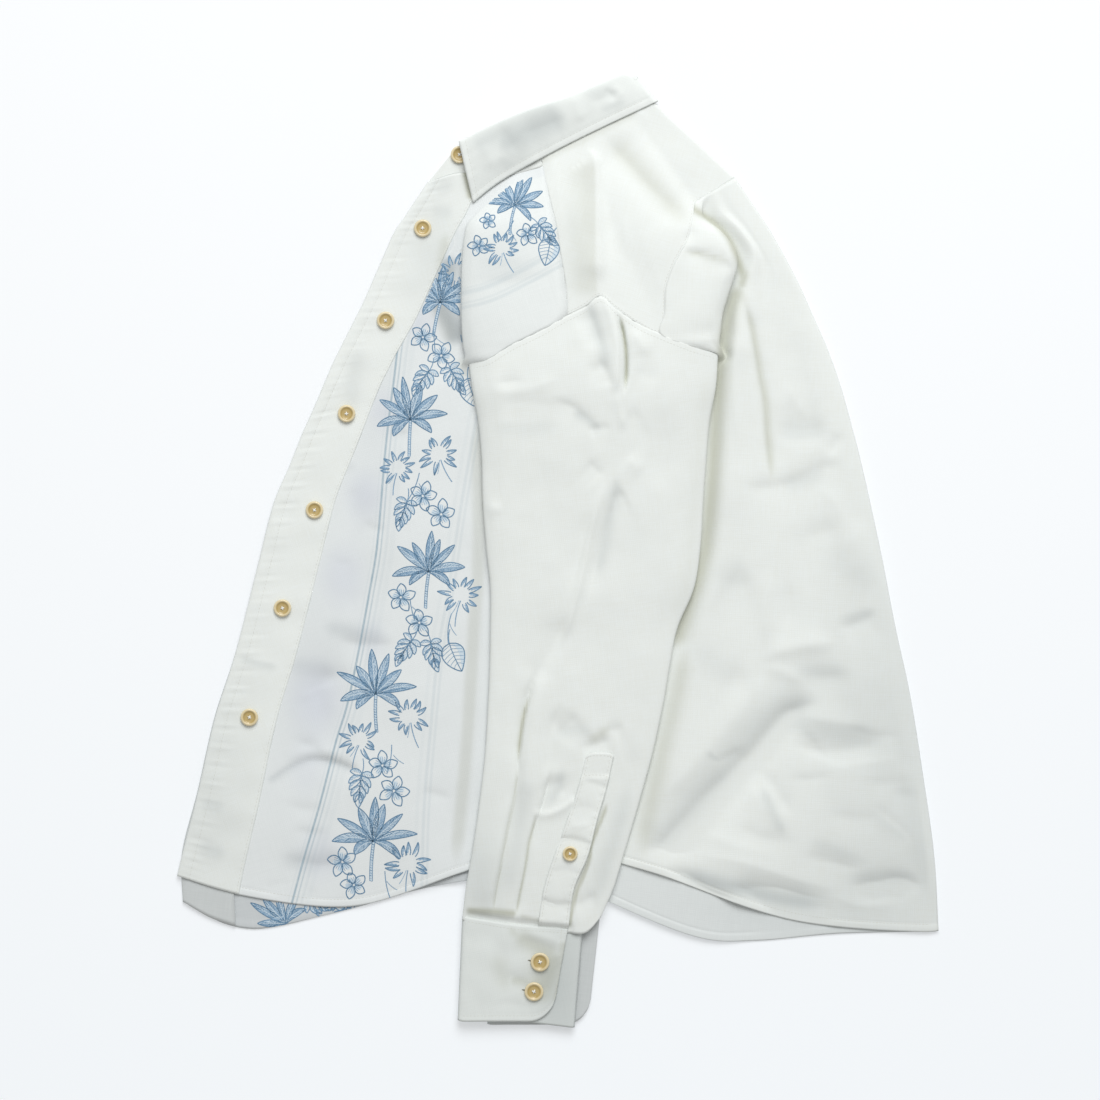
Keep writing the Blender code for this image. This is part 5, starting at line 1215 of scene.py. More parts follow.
def leftSleeve():
    rows = sleeveRows()
    count = len(sleeveShares)
    grid, across, down = fineGrid(rows, 2.3, 2.4, hidden=range(count, count + 8),
                                  fine=(4, 5, 7, count - 1, count + 8), ring=True)
    top = smoothStep(across / 0.7) * smoothStep((count - 1 - across) / 0.7)
    addRelief(grid, top, sleeveCloth, yokeCloth)
    crushed = (across < count - 1) & (down > 1.0) & (top > 0.9)
    lowest = levels["sleeve"] + 0.7
    grid[..., 2] = np.where(crushed, np.maximum(grid[..., 2], lowest), grid[..., 2])
    sinkEdge(grid, "top", 0.12, 1.4, 0.10, seed=43, mask=top)
    far = edgeDistance(grid, "bottom")
    tucked = smoothStep((cuffTuck["reach"] - far) / 6.0) * smoothStep((16.0 - grid[..., 0]) / 6.0) * top
    grid[..., 2] = lerp(grid[..., 2], np.minimum(grid[..., 2], cuffTuck["level"]), tucked)
    ripple = puckers(alongDistance(grid, "bottom"), 44, 17.0)
    grid[..., 2] += 0.3 * ripple * top * np.exp(-((far - 14.0) / 8.0) ** 2)
    paintFoldShade(clothPiece("left_sleeve", grid, "sleeve", ring=True), grid, sleeveCloth, top)
    return rows, grid, across


# Sleeve placket: height over the sleeve, where it stops being stitched flat, and its own creases
sleeveBand = {
    "flat": 0.7, "raised": 1.7, "foldLine": -191.0, "cornerCut": 3.4, "edgeLift": 3.4, "creases": (
    ((-6, -248, 12, -247, 32, -252), -1.9, 2.6, 7, 1.8, 0.2),
    ((-18, -299, -2, -304, 16, -303), -2, 3.4, 6, 1.8, 0.25),
    ((20, -195, 34, -199, 50, -204), -1, 2, 4, 1.7, 0.2),
    ((4, -222, 20, -219, 36, -222), -0.8, 4, 6, 1.8, 0.3),
    ((-8, -276, 8, -274, 22, -278), -0.9, 4, 7, 1.8, 0.3),
    ((8, -234, 18, -236, 30, -233), 0.7, 4, 4, 1.8, 0.3))}


def leftSleevePlacket(rows):
    strip = rows[slit["topSection"]:, slit["from"]:slit["to"] + 1].copy()
    strip = strip + normalsOf(strip) * sleeveBand["flat"]
    strip[..., 2] += 0.2
    grid, across, _ = fineGrid(strip, 1.4, 2.0)
    side = across / across[0, -1]
    corner = np.clip(np.abs(2.0 * side - 1.0) * 1.25 - 0.25, 0.0, 1.0) ** 3
    grid[..., 1] -= sleeveBand["cornerCut"] * corner * np.exp(-edgeDistance(grid, "top") / 6.0)
    below = smoothStep((sleeveBand["foldLine"] - grid[..., 1]) / 4.0)
    grid[..., 2] += (sleeveBand["raised"] - sleeveBand["flat"]) * below
    waist = np.exp(-((grid[..., 1] + 258.0) / 34.0) ** 2)
    grid[..., 2] += sleeveBand["edgeLift"] * waist * side ** 3
    toCuff = grid[..., 1] - np.array([[heightOn(cuffSeam, x) for x in row] for row in grid[..., 0]])
    press(grid, sleeveBand["creases"])
    sewEdge(grid, "left", seams["slit"], 0.1, 0.3, 0.2, seed=51, spacing=7.0)
    sewEdge(grid, "right", seams["slit"], 0.1, 0.3, 0.3, seed=52, spacing=7.0)
    sewEdge(grid, "top", seams["slitTop"], 0.1, 0.3, 0.1, seed=53, spacing=7.0)
    tucked = smoothStep((5.0 - toCuff) / 5.0)
    grid[..., 2] = lerp(grid[..., 2], np.minimum(grid[..., 2], cuffTuck["level"] + 0.1), tucked)
    clothPiece("left_sleeve_placket", grid, "band")
    return grid


def rightSleeve():
    sections = ((8, 90, 165), (-20, 108, 148), (-58, 116, 128), (-57, 112, 60), (-54, 104, -20),
                (-52, 92, -100), (-52, 76, -180), (-56, 56, -250), (-60, 44, -300), (-62, 37, -317))
    rows = []
    for leftX, rightX, y in sections:
        row = [[lerp(leftX, rightX, t), y, 2.0 if 0.0 < t < 1.0 else 1.25]
               for t in (0.0, 0.03, 0.35, 0.65, 0.97, 1.0)]
        rows.append(row + [[lerp(leftX, rightX, t), y, levels["right"]] for t in (0.97, 0.5, 0.03)])
    clothPiece("right_sleeve", fineGrid(rows, 6.0, 8.0, ring=True)[0], "sleeve", ring=True)


cuffCorner = 22.0


def cuffGrid(stations, rowsCount=44, cell=1.8):
    # A band laid in layers: each station has its place, level, top, bottom, lean and distance
    # to the overlapping end, whose bottom corner is round
    stations = np.array(stations, float)
    fine = smoothCurve(stations, gapCounts(stations[:, None, :2], [cell] * (len(stations) - 1)))
    rows = []
    for share in np.linspace(0.0, 1.0, rowsCount):
        row = []
        for x, z, topY, bottomY, lean, toEnd in fine:
            low = bottomY
            if toEnd < cuffCorner:
                inside = cuffCorner - toEnd
                low += cuffCorner - math.sqrt(max(cuffCorner ** 2 - inside ** 2, 0.0))
            y = lerp(topY, low, share)
            row.append([x - lean * (topY - y) / (topY - bottomY), y, z])
        rows.append(row)
    return np.array(rows)


# Left cuff
cuffCloth = {"creases": (
    ((-34, -331, -18, -338, 6, -347), -0.9, 4, 5, 1.8, 0.3),
    ((-30, -327, -14, -332, 6, -338), 0.7, 3, 4, 1.8, 0.3),
    ((-44, -362, -34, -369, -24, -368), -0.8, 4, 5, 1.8, 0.35),
    ((-50, -334, -47, -356, -52, -380), -0.7, 6, 6, 1.9, 0.35),
    ((-60, -330, -62, -360, -66, -396), 0.5, 7, 7, 2, 0.3),
    ((-8, -358, -10, -370, -14, -386), -0.6, 6, 6, 1.9, 0.35),
    ((-60, -392, -40, -390, -16, -396), -0.5, 4, 5, 1.8, 0.35)
), "foldTints": (
    ((-40, -328, -18, -341, 4, -352), 0.44, 7, 8, 2, 0.25),
    ((2, -340, -8, -366, -20, -394), 0.48, 11, 15, 2, 0.25),
    ((-44, -369, -32, -371, -20, -373), 0.4, 4, 5),
    ((-54, -342, -49, -362, -42, -384), 0.22, 8, 8, 2, 0.35),
    ((-44, -322, -36, -330, -24, -336), 0.28, 3, 4, 2, 0.35),
    ((9, -334, 6, -360, -1, -392), 0.5, 3, 6, 2.2, 0.1)
), "shadeSpots": (
    (-2, -375, 18, 36, 0.3),
)}


def leftCuff():
    base = 5.2
    bands = (base, base + 1.8, base + 3.6)
    stations = []
    for x in (8.9, 7.5, 3.5, -3.0, -12.0, -36.0, -60.0, -78.0):
        lean = 14.0 * (x + 82) / 90 + 4.0 * (9 - x) / 90
        stations.append((x, bands[2], heightOn(cuffSeam, x), -406.0, lean, 8.9 - x))
    stations.append((-81.5, bands[2] - 1.2, -314.6, -405.2, 4.0, 99.0))
    stations.append((-82.2, lerp(bands[0], bands[2], 0.5), -314.6, -404.8, 4.0, 99.0))
    stations.append((-81.5, bands[0] + 1.2, -314.6, -405.2, 4.0, 99.0))
    for x in (-78.0, -50.0, -20.0, 10.0, 19.5):
        low = -405.5 if x < -30 else -405.5 - 6.0 * (x + 30) / 50
        stations.append((x, bands[0], heightOn(cuffSeam, x), low, 4.0 + 3.0 * (x + 78) / 98, 99.0))
    stations.append((21.3, lerp(bands[0], bands[1], 0.5), heightOn(cuffSeam, 21.3), -411.5, 7.0, 99.0))
    for x in (19.5, 8.0, -10.0, -24.0):
        stations.append((x, bands[1], heightOn(cuffSeam, x), -411.5 + (19.5 - x) * 0.12, 7.0, 99.0))
    grid = cuffGrid(stations)
    upper = smoothStep((grid[..., 2] - bands[1] - 0.6) / 0.8) * 1.0
    press(grid, cuffCloth["creases"], upper)
    grid[..., 2] += upper * 0.12 * (1.0 + undulation(grid, 34.0, 71))
    sewEdge(grid, "bottom", seams["cuff"], 0.1, 0.3, 0.12, seed=72, spacing=7.0, mask=upper)
    sewEdge(grid, "left", seams["cuff"], 0.1, 0.3, 0.12, seed=73, spacing=7.0, mask=upper)
    # The cuff linen is a slightly darker copy with painted shade, and the layers below its top get painted
    # shade throughout
    piece = clothPiece("left_cuff", grid, "cuff", thickness=cloth["bandThickness"])
    paintFoldShade(piece, grid, cuffCloth, upper, 0.30 * (1.0 - upper))
    return grid


def rightCuff():
    bands = (0.6, 2.4, 4.2)
    stations = [(x, bands[1], -318.0, -409.5, 10.0 * (x + 62) / 98, 36.5 - x)
                for x in (36.5, 35.0, 31.0, 24.5, 15.0, -10.0, -40.0, -58.0)]
    stations.append((-60.6, 1.5, -318.0, -409.0, 0.0, 99.0))
    stations += [(x, bands[0], -318.0, -409.5, 10.0 * (x + 62) / 98, 36.5 - x)
                 for x in (-58.0, -20.0, 12.0, 25.0, 34.0)]
    clothPiece("right_cuff", cuffGrid(stations, 30, 3.0), "shade", thickness=cloth["bandThickness"])


# Collar leaf
collarCloth = {"creases": (
    ((-34, 362, -14, 369, 8, 379), -1.5, 8, 7, 1.9, 0.3),
    ((-50, 372, -42, 358, -34, 346), -0.9, 5, 6, 1.9, 0.35),
    ((-66, 356, -60, 344, -54, 332), 0.8, 6, 7, 1.9, 0.35),
    ((39, 403, 46, 399, 52, 393), -1, 2.4, 3.4, 1.7, 0.3),
    ((46, 406, 52, 401, 57, 395), 0.8, 2.4, 2.8, 1.7, 0.3),
    ((28, 390, 40, 395, 52, 401), -0.8, 4, 5, 1.8, 0.3), ((13, 398, 17, 385, 23, 373), 1, 6, 5, 1.9, 0.3)
), "dipTints": (
    ((-58, 352, -30, 363, -8, 373, 10, 382), 0.5, 15, 12, 2, 0.2),
    ((-76, 350, -60, 358, -42, 367), 0.3, 8, 9), ((-52, 346, -44, 338, -36, 334), 0.18, 6, 6, 2, 0.35),
    ((20, 396, 38, 400, 56, 401), 0.18, 6), ((34, 384, 48, 388, 62, 394), 0.22, 4)
)}


def collarLeaf():
    shares = (0.12, 0.03, 0.0, 0.0, 0.05, 0.25, 0.5, 0.75, 1.0)
    crown = (0.0, 0.0, 0.0, -0.8, 0.1, 0.8, 1.0, 0.6, 0.0)
    roll = (0.0, 0.06, 0.45, 1.0, 1.0, 1.0, 1.0, 1.0, 1.0)
    rows = []
    for share, rise, rolled in zip(shares, crown, roll):
        row = [[lerp(s[0], s[3], share), lerp(s[1], s[4], share),
                lerp(5.2, lerp(s[2], s[5], share) + rise, rolled)] for s in collarSections]
        x = lerp(collarCentre[0], collarCentre[3], share)
        y = lerp(collarCentre[1], collarCentre[4], share)
        row += [[x - 3.6, y - 1.6, 7.0], [x - 1.0, y - 0.4, 5.6], [x, y, 3.7], [x - 1.0, y - 0.4, 1.8],
                [x - 3.6, y - 1.6, 0.6]]
        row += [[lerp(s[0], s[3], share), lerp(s[1], s[4], share), 0.6] for s in collarSections[::-1]]
        rows.append(row)
    count = len(collarSections)
    grid, across, _ = fineGrid(rows, 2.2, 1.8, hidden=range(count + 5, count * 2 + 4),
                               fine=range(count, count + 4), fineRows=(0, 1, 2, 3), fineCell=0.9)
    top = 1.0 - smoothStep((across - (count - 0.5)) / 1.0)
    sewEdge(grid, "bottom", seams["collar"], 0.15, 0.4, 0.16, seed=61, mask=top)
    sewEdge(grid, "left", seams["collar"], 0.15, 0.4, 0.16, seed=62, mask=top)
    grid[..., 2] += top * 0.18 * undulation(grid, 40.0, 63)
    press(grid, collarCloth["creases"], top)
    # Its outer edge comes down close over the cloth below
    below = np.concatenate([frontGrid.reshape(-1, 3), yokeGrid.reshape(-1, 3)])
    rim = grid[-1][top[-1] > 0.5]
    support = []
    for x, y, z in rim:
        near = below[np.hypot(below[:, 0] - x, below[:, 1] - y) < leafGap["search"]]
        support.append(min(near[:, 2].max() + leafGap["over"], z) if len(near) else z)
    support = np.convolve(np.pad(support, 3, mode="edge"), np.ones(7) / 7, mode="valid")
    drop = np.zeros(grid.shape[1])
    drop[top[-1] > 0.5] = np.minimum(support - rim[:, 2], 0.0)
    grid[..., 2] += top * drop[None, :] * np.exp(-(edgeDistance(grid, "bottom") / leafGap["reach"]) ** 2)
    piece = clothPiece("collar_leaf", grid, "collar", thickness=cloth["bandThickness"])
    paintFoldShade(piece, grid, collarCloth, top)
    return grid, across


def collarStand():
    # From its button end at the front to the centre back, and back along the right half
    split = frontNeckEnd + 1
    tops = np.array([[x, y, 4.3 if x > -80 else 3.9] for x, y in standTop])
    lows = np.array([[x, y + cloth["seamGap"] / 2, z] for x, y, z in neckSeam])
    lows[split, 0] -= 0.4
    tops, lows = (np.concatenate([smoothCurve(line[:split], 2), smoothCurve(line[split:], 2)])
                  for line in (tops, lows))
    rows = []
    for share in (0.0, 0.35, 0.7, 1.0):
        row = [[lerp(a[0], b[0], share), lerp(a[1], b[1], share), lerp(a[2], b[2], share ** 2)]
               for a, b in zip(tops, lows)]
        x = lerp(standCentre[0], neckCentre[0] - 0.3, share)
        y = lerp(standCentre[1], neckCentre[1] + 0.2, share)
        row += [[x - 1.6, y - 0.8, 4.6], [x, y, 3.4], [x - 1.6, y - 0.8, 2.2]]
        row += [[lerp(a[0], b[0], share) + 0.5, lerp(a[1], b[1], share), 2.2]
                for a, b in list(zip(tops, lows))[::-1]]
        rows.append(row)
    clothPiece("collar_stand", fineGrid(rows, 3.0, 2.4)[0], "band")


frontRows, frontGrid = leftFront()
placketGrid = leftFrontPlacket(frontRows)
rightFrontPlacket()
rightFront()
print("fronts laid")
backGrid, backAcross = back()
yokeGrid = yoke()
print("back and yoke laid")
sleeveControl, sleeveGrid, sleeveAcross = leftSleeve()
sleevePlacketGrid = leftSleevePlacket(sleeveControl)
rightSleeve()
cuffTopGrid = leftCuff()
rightCuff()
print("sleeves laid")
leafGrid, leafAcross = collarLeaf()
collarStand()
print("collar laid")


# Looks of the buttons and their thread
buttonLook = {"rimColour": (0.76, 0.65, 0.42), "dishColour": (0.46, 0.33, 0.11), "roughness": 0.28,
              "threadColour": (0.86, 0.86, 0.82), "thickness": 2.6, "sides": 56}


def buttonMaterial():
    material, tree = newMaterial("cream_and_gold_shell", {
        "Roughness": buttonLook["roughness"], "Coat Weight": 0.3, "Coat Roughness": 0.15})
    specks = grain(tree, addNode(tree, "TexCoord", {})["Object"], 420.0, 3.0)
    tone = maths(tree, "MULTIPLY_ADD", specks, 0.35, painted(tree, "dish"))
    colourIt(tree, mixTones(tree, spread(tree, tone, 0.12, 1.18), buttonLook["rimColour"],
                            buttonLook["dishColour"]))
    return material


materials["button"] = buttonMaterial()
materials["thread"] = newMaterial("white_sewing_thread", {
    "Base Color": buttonLook["threadColour"], "Roughness": 0.7, "Sheen Weight": 0.2})[0]


def buttonDisc(radius):
    # A turned disc with a raised rim and a dished middle, and a tone for each of its points
    high = buttonLook["thickness"]
    profile = ((0.0, 0.0, 1.0), (radius * 0.70, 0.0, 0.4), (radius * 0.90, high * 0.16, 0.0),
               (radius, high * 0.45, 0.0), (radius * 0.985, high * 0.72, 0.0),
               (radius * 0.92, high * 0.93, 0.0), (radius * 0.84, high * 1.0, 0.05),
               (radius * 0.76, high * 0.97, 0.25), (radius * 0.70, high * 0.84, 0.7),
               (radius * 0.62, high * 0.66, 1.0), (radius * 0.50, high * 0.56, 0.85),
               (radius * 0.38, high * 0.53, 0.8), (0.0, high * 0.52, 0.9))
    sides = buttonLook["sides"]
    points = [(0.0, 0.0, 0.0)]
    tones = [1.0]
    for r, z, tone in profile[1:-1]:
        for k in range(sides):
            angle = 2 * math.pi * k / sides
            points.append((r * math.cos(angle), r * math.sin(angle), z))
            tones.append(tone)
    points.append((0.0, 0.0, profile[-1][1]))
    tones.append(profile[-1][2])
    rings = len(profile) - 2
    faces = []
    for k in range(sides):
        after = (k + 1) % sides
        faces.append((0, 1 + after, 1 + k))
        for ring in range(rings - 1):
            a = 1 + ring * sides
            b = a + sides
            faces.append((a + k, a + after, b + after, b + k))
        top = 1 + (rings - 1) * sides
        faces.append((top + k, top + after, len(points) - 1))
    return points, faces, tones


def buttonThread(radius):
    # The thread that holds it: two bars of strands, with a raised middle
    high = buttonLook["thickness"] * 0.52
    points, faces = [], []
    strand = 0.28
    hole = radius * 0.20
    for turn in (0.25, 0.75):
        for offset in (-0.22, 0.0, 0.22):
            angle = math.pi * (turn + offset * 0.14)
            direction = Vector((math.cos(angle), math.sin(angle), 0.0))
            side = Vector((-direction.y, direction.x, 0.0))
            first = len(points)
            for step in range(7):
                share = step / 6 * 2.0 - 1.0
                lift = high + 0.75 * (1.0 - share ** 4) - 0.5 * abs(share) ** 8
                centre = direction * (share * hole * 1.25) + side * (offset * 1.1) + Vector((0, 0, lift))
                for corner in range(5):
                    a = 2 * math.pi * corner / 5
                    points.append(centre + side * (strand * math.cos(a))
                                  + Vector((0, 0, strand * math.sin(a))))
            for step in range(6):
                for corner in range(5):
                    after = (corner + 1) % 5
                    a = first + step * 5
                    faces.append((a + corner, a + after, a + 5 + after, a + 5 + corner))
            faces.append(tuple(first + k for k in range(4, -1, -1)))
            faces.append(tuple(first + 30 + k for k in range(5)))
    return points, faces


# The first button slips a little further under the collar leaf
firstButton = {"east": 4.4, "north": 0.3}


def buttons():
    names = ["front_button_%d" % k for k in range(1, 8)] + ["cuff_button_1", "cuff_button_2",
                                                            "sleeve_placket_button"]
    for index, node in enumerate(names):
        low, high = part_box(node)
        radius = (high.x - low.x) / 2 / mm
        centre = np.array([(low.x + high.x) / 2, (low.y + high.y) / 2, low.z])
        if index == 0:
            centre += np.array([firstButton["east"], firstButton["north"], 0.0]) * mm
        cos, sin = math.cos(index * 0.83), math.sin(index * 0.83)
        spin = np.array([[cos, sin, 0.0], [-sin, cos, 0.0], [0.0, 0.0, 1.0]])
        points, faces, tones = buttonDisc(radius)
        disc = meshPiece(node + "_disc", (np.array(points) @ spin * mm + centre).tolist(), faces,
                         materials["button"], node)
        paint(disc, "dish", tones)
        points, faces = buttonThread(radius)
        meshPiece(node + "_thread", (np.array(points) @ spin * mm + centre).tolist(), faces,
                  materials["thread"])


buttons()
print("buttons sewn")

# Print on the front: palms, leaves, flowers and stems drawn by rule in one blue ink
inkLook = {"line": (0.085, 0.185, 0.300), "fill": (0.250, 0.390, 0.540), "pale": (0.60, 0.70, 0.77),
           "lift": 0.12, "roughness": 0.85}


def inkMaterial():
    material, tree = newMaterial("blue_print_ink", {"Roughness": inkLook["roughness"],
                                                    "Specular IOR Level": 0.2})
    wear = grain(tree, addNode(tree, "TexCoord", {})["Object"], 900.0, 2.0)
    tone = maths(tree, "MULTIPLY_ADD", wear, 0.7, painted(tree, "tone"))
    ramp = tree.nodes.new("ShaderNodeValToRGB")
    stops = ramp.color_ramp.elements
    stops[0].position = 0.30
    stops[0].color = (*inkLook["line"], 1.0)
    stops[1].color = (*inkLook["pale"], 1.0)
    stops.new(0.66).color = (*inkLook["fill"], 1.0)
    fillInputs(tree, ramp, {"Fac": tone})
    colourIt(tree, ramp.outputs["Color"])
    return material


def bent(start, angle, length, bend, count=9):
    # A line from a start that turns steadily on its way
    points = [np.array(start, float)]
    for step in range(count):
        heading = angle + bend * (step + 0.5) / count
        points.append(points[-1] + length / count * np.array([math.cos(heading), math.sin(heading)]))
    return np.array(points)


def lensOutline(spine, width, blunt=0.75):
    # Left and right sides of a long leaf round its spine
    count = len(spine)
    direction = np.gradient(spine, axis=0)
    direction /= np.linalg.norm(direction, axis=1, keepdims=True)
    side = np.stack([-direction[:, 1], direction[:, 0]], axis=1)
    share = np.linspace(0.0, 1.0, count)
    half = width / 2 * np.sin(math.pi * share ** blunt) ** 0.8
    half[0] = half[-1] = 0.0
    return spine + side * half[:, None], spine - side * half[:, None]


# Leaves of a palm: angle in degrees, length, how it turns on its way, and the tone of its two halves
palmLeaves = (
    (188, 20, 1.15, 0.4, 0.24), (166, 32, 0.7, 0.24, 0.5), (143, 35, 0.2, 0.5, 0.22),
    (117, 31, 0.1, 0.26, 0.48), (94, 38, -0.04, 0.2, 0.42), (74, 34, -0.05, 0.48, 0.26),
    (49, 33, -0.14, 0.24, 0.5), (26, 34, -0.5, 0.46, 0.22), (2, 25, -1.05, 0.28, 0.52))


def palm(maker):
    # A crown of long arching leaves on a thin ringed trunk
    lines, fills = [], []
    for degrees, length, droop, upper, lower in palmLeaves:
        length = length * maker.uniform(0.88, 1.06)
        spine = bent((0, 0), math.radians(degrees + maker.uniform(-5, 5)), length, droop, 16)
        left, right = lensOutline(spine, 7.0 + maker.uniform(-0.9, 0.9), 1.15)
        fills.append((left, spine, upper + 0.16))
        fills.append((spine, right, lower + 0.16))
        for edge in (left, right):
            lines.append((edge, 0.85, maker.uniform(0.0, 0.12)))
            for step in range(3, 15):
                start = lerp(spine[step - 1], edge[step - 1], 0.12)
                reach = lerp(spine[min(step + 1, 16)], edge[min(step + 1, 16)], maker.uniform(0.6, 0.95))
                lines.append((np.array([start, reach]), 0.5, maker.uniform(0.0, 0.45)))
        lines.append((spine[1:-1], 0.45, 0.95))
    trunk = bent((0.3, -0.5), math.radians(-96), 31.0, maker.uniform(-0.1, 0.3), 15)
    fills.append((trunk + np.array([-1.1, 0.0]), trunk + np.array([1.1, 0.0]), 0.62))
    for aside in (-1.1, 1.1):
        lines.append((trunk + np.array([aside, 0.0]), 0.6, 0.15))
    for point in trunk[1:]:
        lines.append((np.array([point + (-1.1, 0.3), point + (1.1, -0.3)]), 0.6, maker.uniform(0.1, 0.5)))
    return lines, fills


def fanLeaf(maker):
    # A fan leaf: pointed fingers round a bare middle, shaded to their tips, on a long stalk
    lines, fills = [], []
    fingers = 11
    for k in range(fingers):
        angle = math.radians(-58 + 296 * k / (fingers - 1) + maker.uniform(-6, 6))
        start = np.array([math.cos(angle), math.sin(angle)]) * (6.2 + maker.uniform(-0.8, 0.8))
        spine = bent(start, angle, 12.4 + maker.uniform(-3.4, 2.2), maker.uniform(-0.7, 0.7), 8)
        left, right = lensOutline(spine, 3.5, 0.68)
        fills.append((left[2:], spine[2:], 0.42))
        fills.append((spine[4:], right[4:], 0.60))
        lines += [(edge[1:], 0.9, 0.12) for edge in (left, right)]
        lines.append((spine[4:], 0.6, 0.2))
    lines.append((bent((0.5, -5), math.radians(-98 + maker.uniform(-14, 14)), 23.0, 0.35, 9), 0.85, 0.25))
    lines.append((bent((-0.8, -5), math.radians(-104), 13.0, -0.25, 6), 0.6, 0.4))
    return lines, fills


def flower(maker):
    # Five broad petals turned about a small eye, shaded at the eye
    lines, fills = [], []
    start = maker.uniform(0, 360)
    for k in range(5):
        angle = math.radians(start + 72 * k + maker.uniform(-7, 7))
        spine = bent((math.cos(angle) * 1.2, math.sin(angle) * 1.2), angle, 11.6 + maker.uniform(-0.9, 1.2),
                     0.40, 12)
        left, right = lensOutline(spine, 8.0, 1.0)
        fills.append((left[:8], spine[:8], 0.78))
        fills.append((spine[:5], right[:5], 0.92))
        lines += [(edge, 0.95, 0.08) for edge in (left, right)]
        for aside in (0.25, 0.5, 0.75):
            lines.append((lerp(left, right, aside)[1:7], 0.5, 0.3))
    return lines, fills


# Lobes of a split leaf: where on its spine, angle in degrees from it and length
splitLobes = ((0, 118, 11.5), (1, 74, 13.5), (3, 58, 14.0), (6, 46, 12.5), (9, 34, 11.0))


def splitLeaf(maker):
    # A hanging leaf parted into curved lobes along its spine, each shaded on one side
    lines, fills = [], []
    spine = bent((0, 0), math.radians(-90 + maker.uniform(-8, 8)), 21.0, maker.uniform(-0.3, 0.3), 12)
    for side in (-1, 1):
        for k, (place, spreadAngle, reach) in enumerate(splitLobes):
            angle = math.radians(-90 + side * (spreadAngle + maker.uniform(-5, 5)))
            lobe = bent(spine[place], angle, reach, -side * 0.8, 10)
            left, right = lensOutline(lobe, 5.8 - 0.3 * k, 0.95)
            fills.append((left, lobe, 0.62) if side > 0 else (lobe, right, 0.62))
            lines += [(edge, 0.85, 0.12) for edge in (left, right)]
            for step in range(3, 9, 2):
                rib = np.array([lobe[step - 1], lerp(lobe[step + 1], right[step + 1], 0.8)])
                lines.append((rib, 0.45, 0.35))
    tip = bent(spine[10], math.radians(-90), 13.0, 0.3, 10)
    left, right = lensOutline(tip, 6.4, 0.9)
    fills.append((left, tip, 0.62))
    lines += [(edge, 0.85, 0.12) for edge in (left, right)]
    lines.append((spine, 0.9, 0.1))
    lines.append((bent((0, 0), math.radians(82), 15.0, 0.6, 7), 0.8, 0.2))
    return lines, fills


def broadLeaf(maker):
    # A heart-shaped leaf with a drawn-out tip, veined and shaded down one side
    lines, fills = [], []
    spine = bent((0, 0), math.radians(-90), 28.0, maker.uniform(-0.3, 0.3), 16)
    left, right = lensOutline(spine, 21.0, 0.68)
    fills.append((left, lerp(left, spine, 0.5), 0.74))
    for edge in (left, right):
        lines.append((edge, 0.95, 0.1))
        for step in range(2, 14, 2):
            vein = (spine[step - 1], lerp(spine[step], edge[step], 0.5),
                    lerp(spine[step + 1], edge[step + 1], 0.9))
            lines.append((np.array(vein), 0.5, 0.3))
    lines.append((spine, 0.8, 0.15))
    lines.append((bent((0, 0), math.radians(84), 13.0, -0.5, 7), 0.8, 0.2))
    return lines, fills


def stem(maker):
    # A thin forked stem that links the others
    lines = [(bent((0, 0), math.radians(-95), 26.0, maker.uniform(-0.5, 0.5), 10), 0.8, 0.2),
             (bent((0.6, -9), math.radians(-60), 12.0, 0.5, 6), 0.6, 0.3)]
    return lines, []


motifs = {"palm": palm, "fanLeaf": fanLeaf, "flower": flower, "splitLeaf": splitLeaf, "broadLeaf": broadLeaf,
          "stem": stem}

# Where each motif stands on each level of cloth: x, y, size and turn in degrees
printPlan = {
    "panel": (
        ("palm", -102, 218, 0.95, -10), ("fanLeaf", -88, 244, 0.9, 30), ("flower", -117, 188, 0.92, 0),
        ("flower", -101, 172, 1, 0), ("stem", -108, 196, 0.9, 10), ("splitLeaf", -112, 158, 0.85, -30),
        ("splitLeaf", -93, 160, 0.85, 22), ("broadLeaf", -78, 152, 0.95, 14), ("stem", -84, 190, 0.9, 12),
        ("palm", -128, 116, 1, 2), ("fanLeaf", -103, 86, 0.95, 14), ("fanLeaf", -139, 74, 0.85, -12),
        ("stem", -120, 70, 1, -6), ("flower", -117, 50, 1, 0), ("flower", -101, 34, 1.02, 0),
        ("splitLeaf", -131, 44, 0.85, -16), ("palm", -112, -16, 1, -4), ("fanLeaf", -84, -36, 1, -8),
        ("stem", -92, -52, 1, -14), ("flower", -136, -38, 0.98, 0), ("flower", -120, -60, 1, 0),
        ("stem", -128, -40, 0.7, 12), ("splitLeaf", -127, -76, 0.85, -36),
        ("broadLeaf", -94, -78, 0.95, 18), ("splitLeaf", -110, -78, 0.85, 12),
        ("palm", -158, -122, 1.05, 2), ("fanLeaf", -129, -142, 1, 14), ("fanLeaf", -172, -162, 0.92, -12),
        ("stem", -144, -166, 1, 6), ("flower", -152, -184, 1, 0), ("flower", -142, -206, 1.05, 0),
        ("splitLeaf", -170, -192, 0.95, -14), ("palm", -160, -250, 1.1, -3),
        ("fanLeaf", -130, -270, 1.05, -6), ("flower", -187, -268, 1, 0), ("flower", -177, -288, 0.95, 0),
        ("stem", -150, -276, 1, 6)),
    "over": (
        ("palm", -37, 301, 0.82, -12), ("fanLeaf", -48, 264, 0.85, 12), ("stem", -38, 288, 0.9, -20),
        ("splitLeaf", -16, 284, 0.8, 40), ("flower", -26, 276, 0.8, 0), ("broadLeaf", -6, 272, 0.85, -8),
        ("flower", -60, 288, 0.6, 20), ("flower", -68, 266, 0.75, 0)),
    "inside": (
        ("palm", -236, -322, 0.9, 60), ("splitLeaf", -216, -304, 0.8, 80),
        ("fanLeaf", -200, -314, 0.7, 10), ("flower", -184, -308, 0.8, 10)),
}
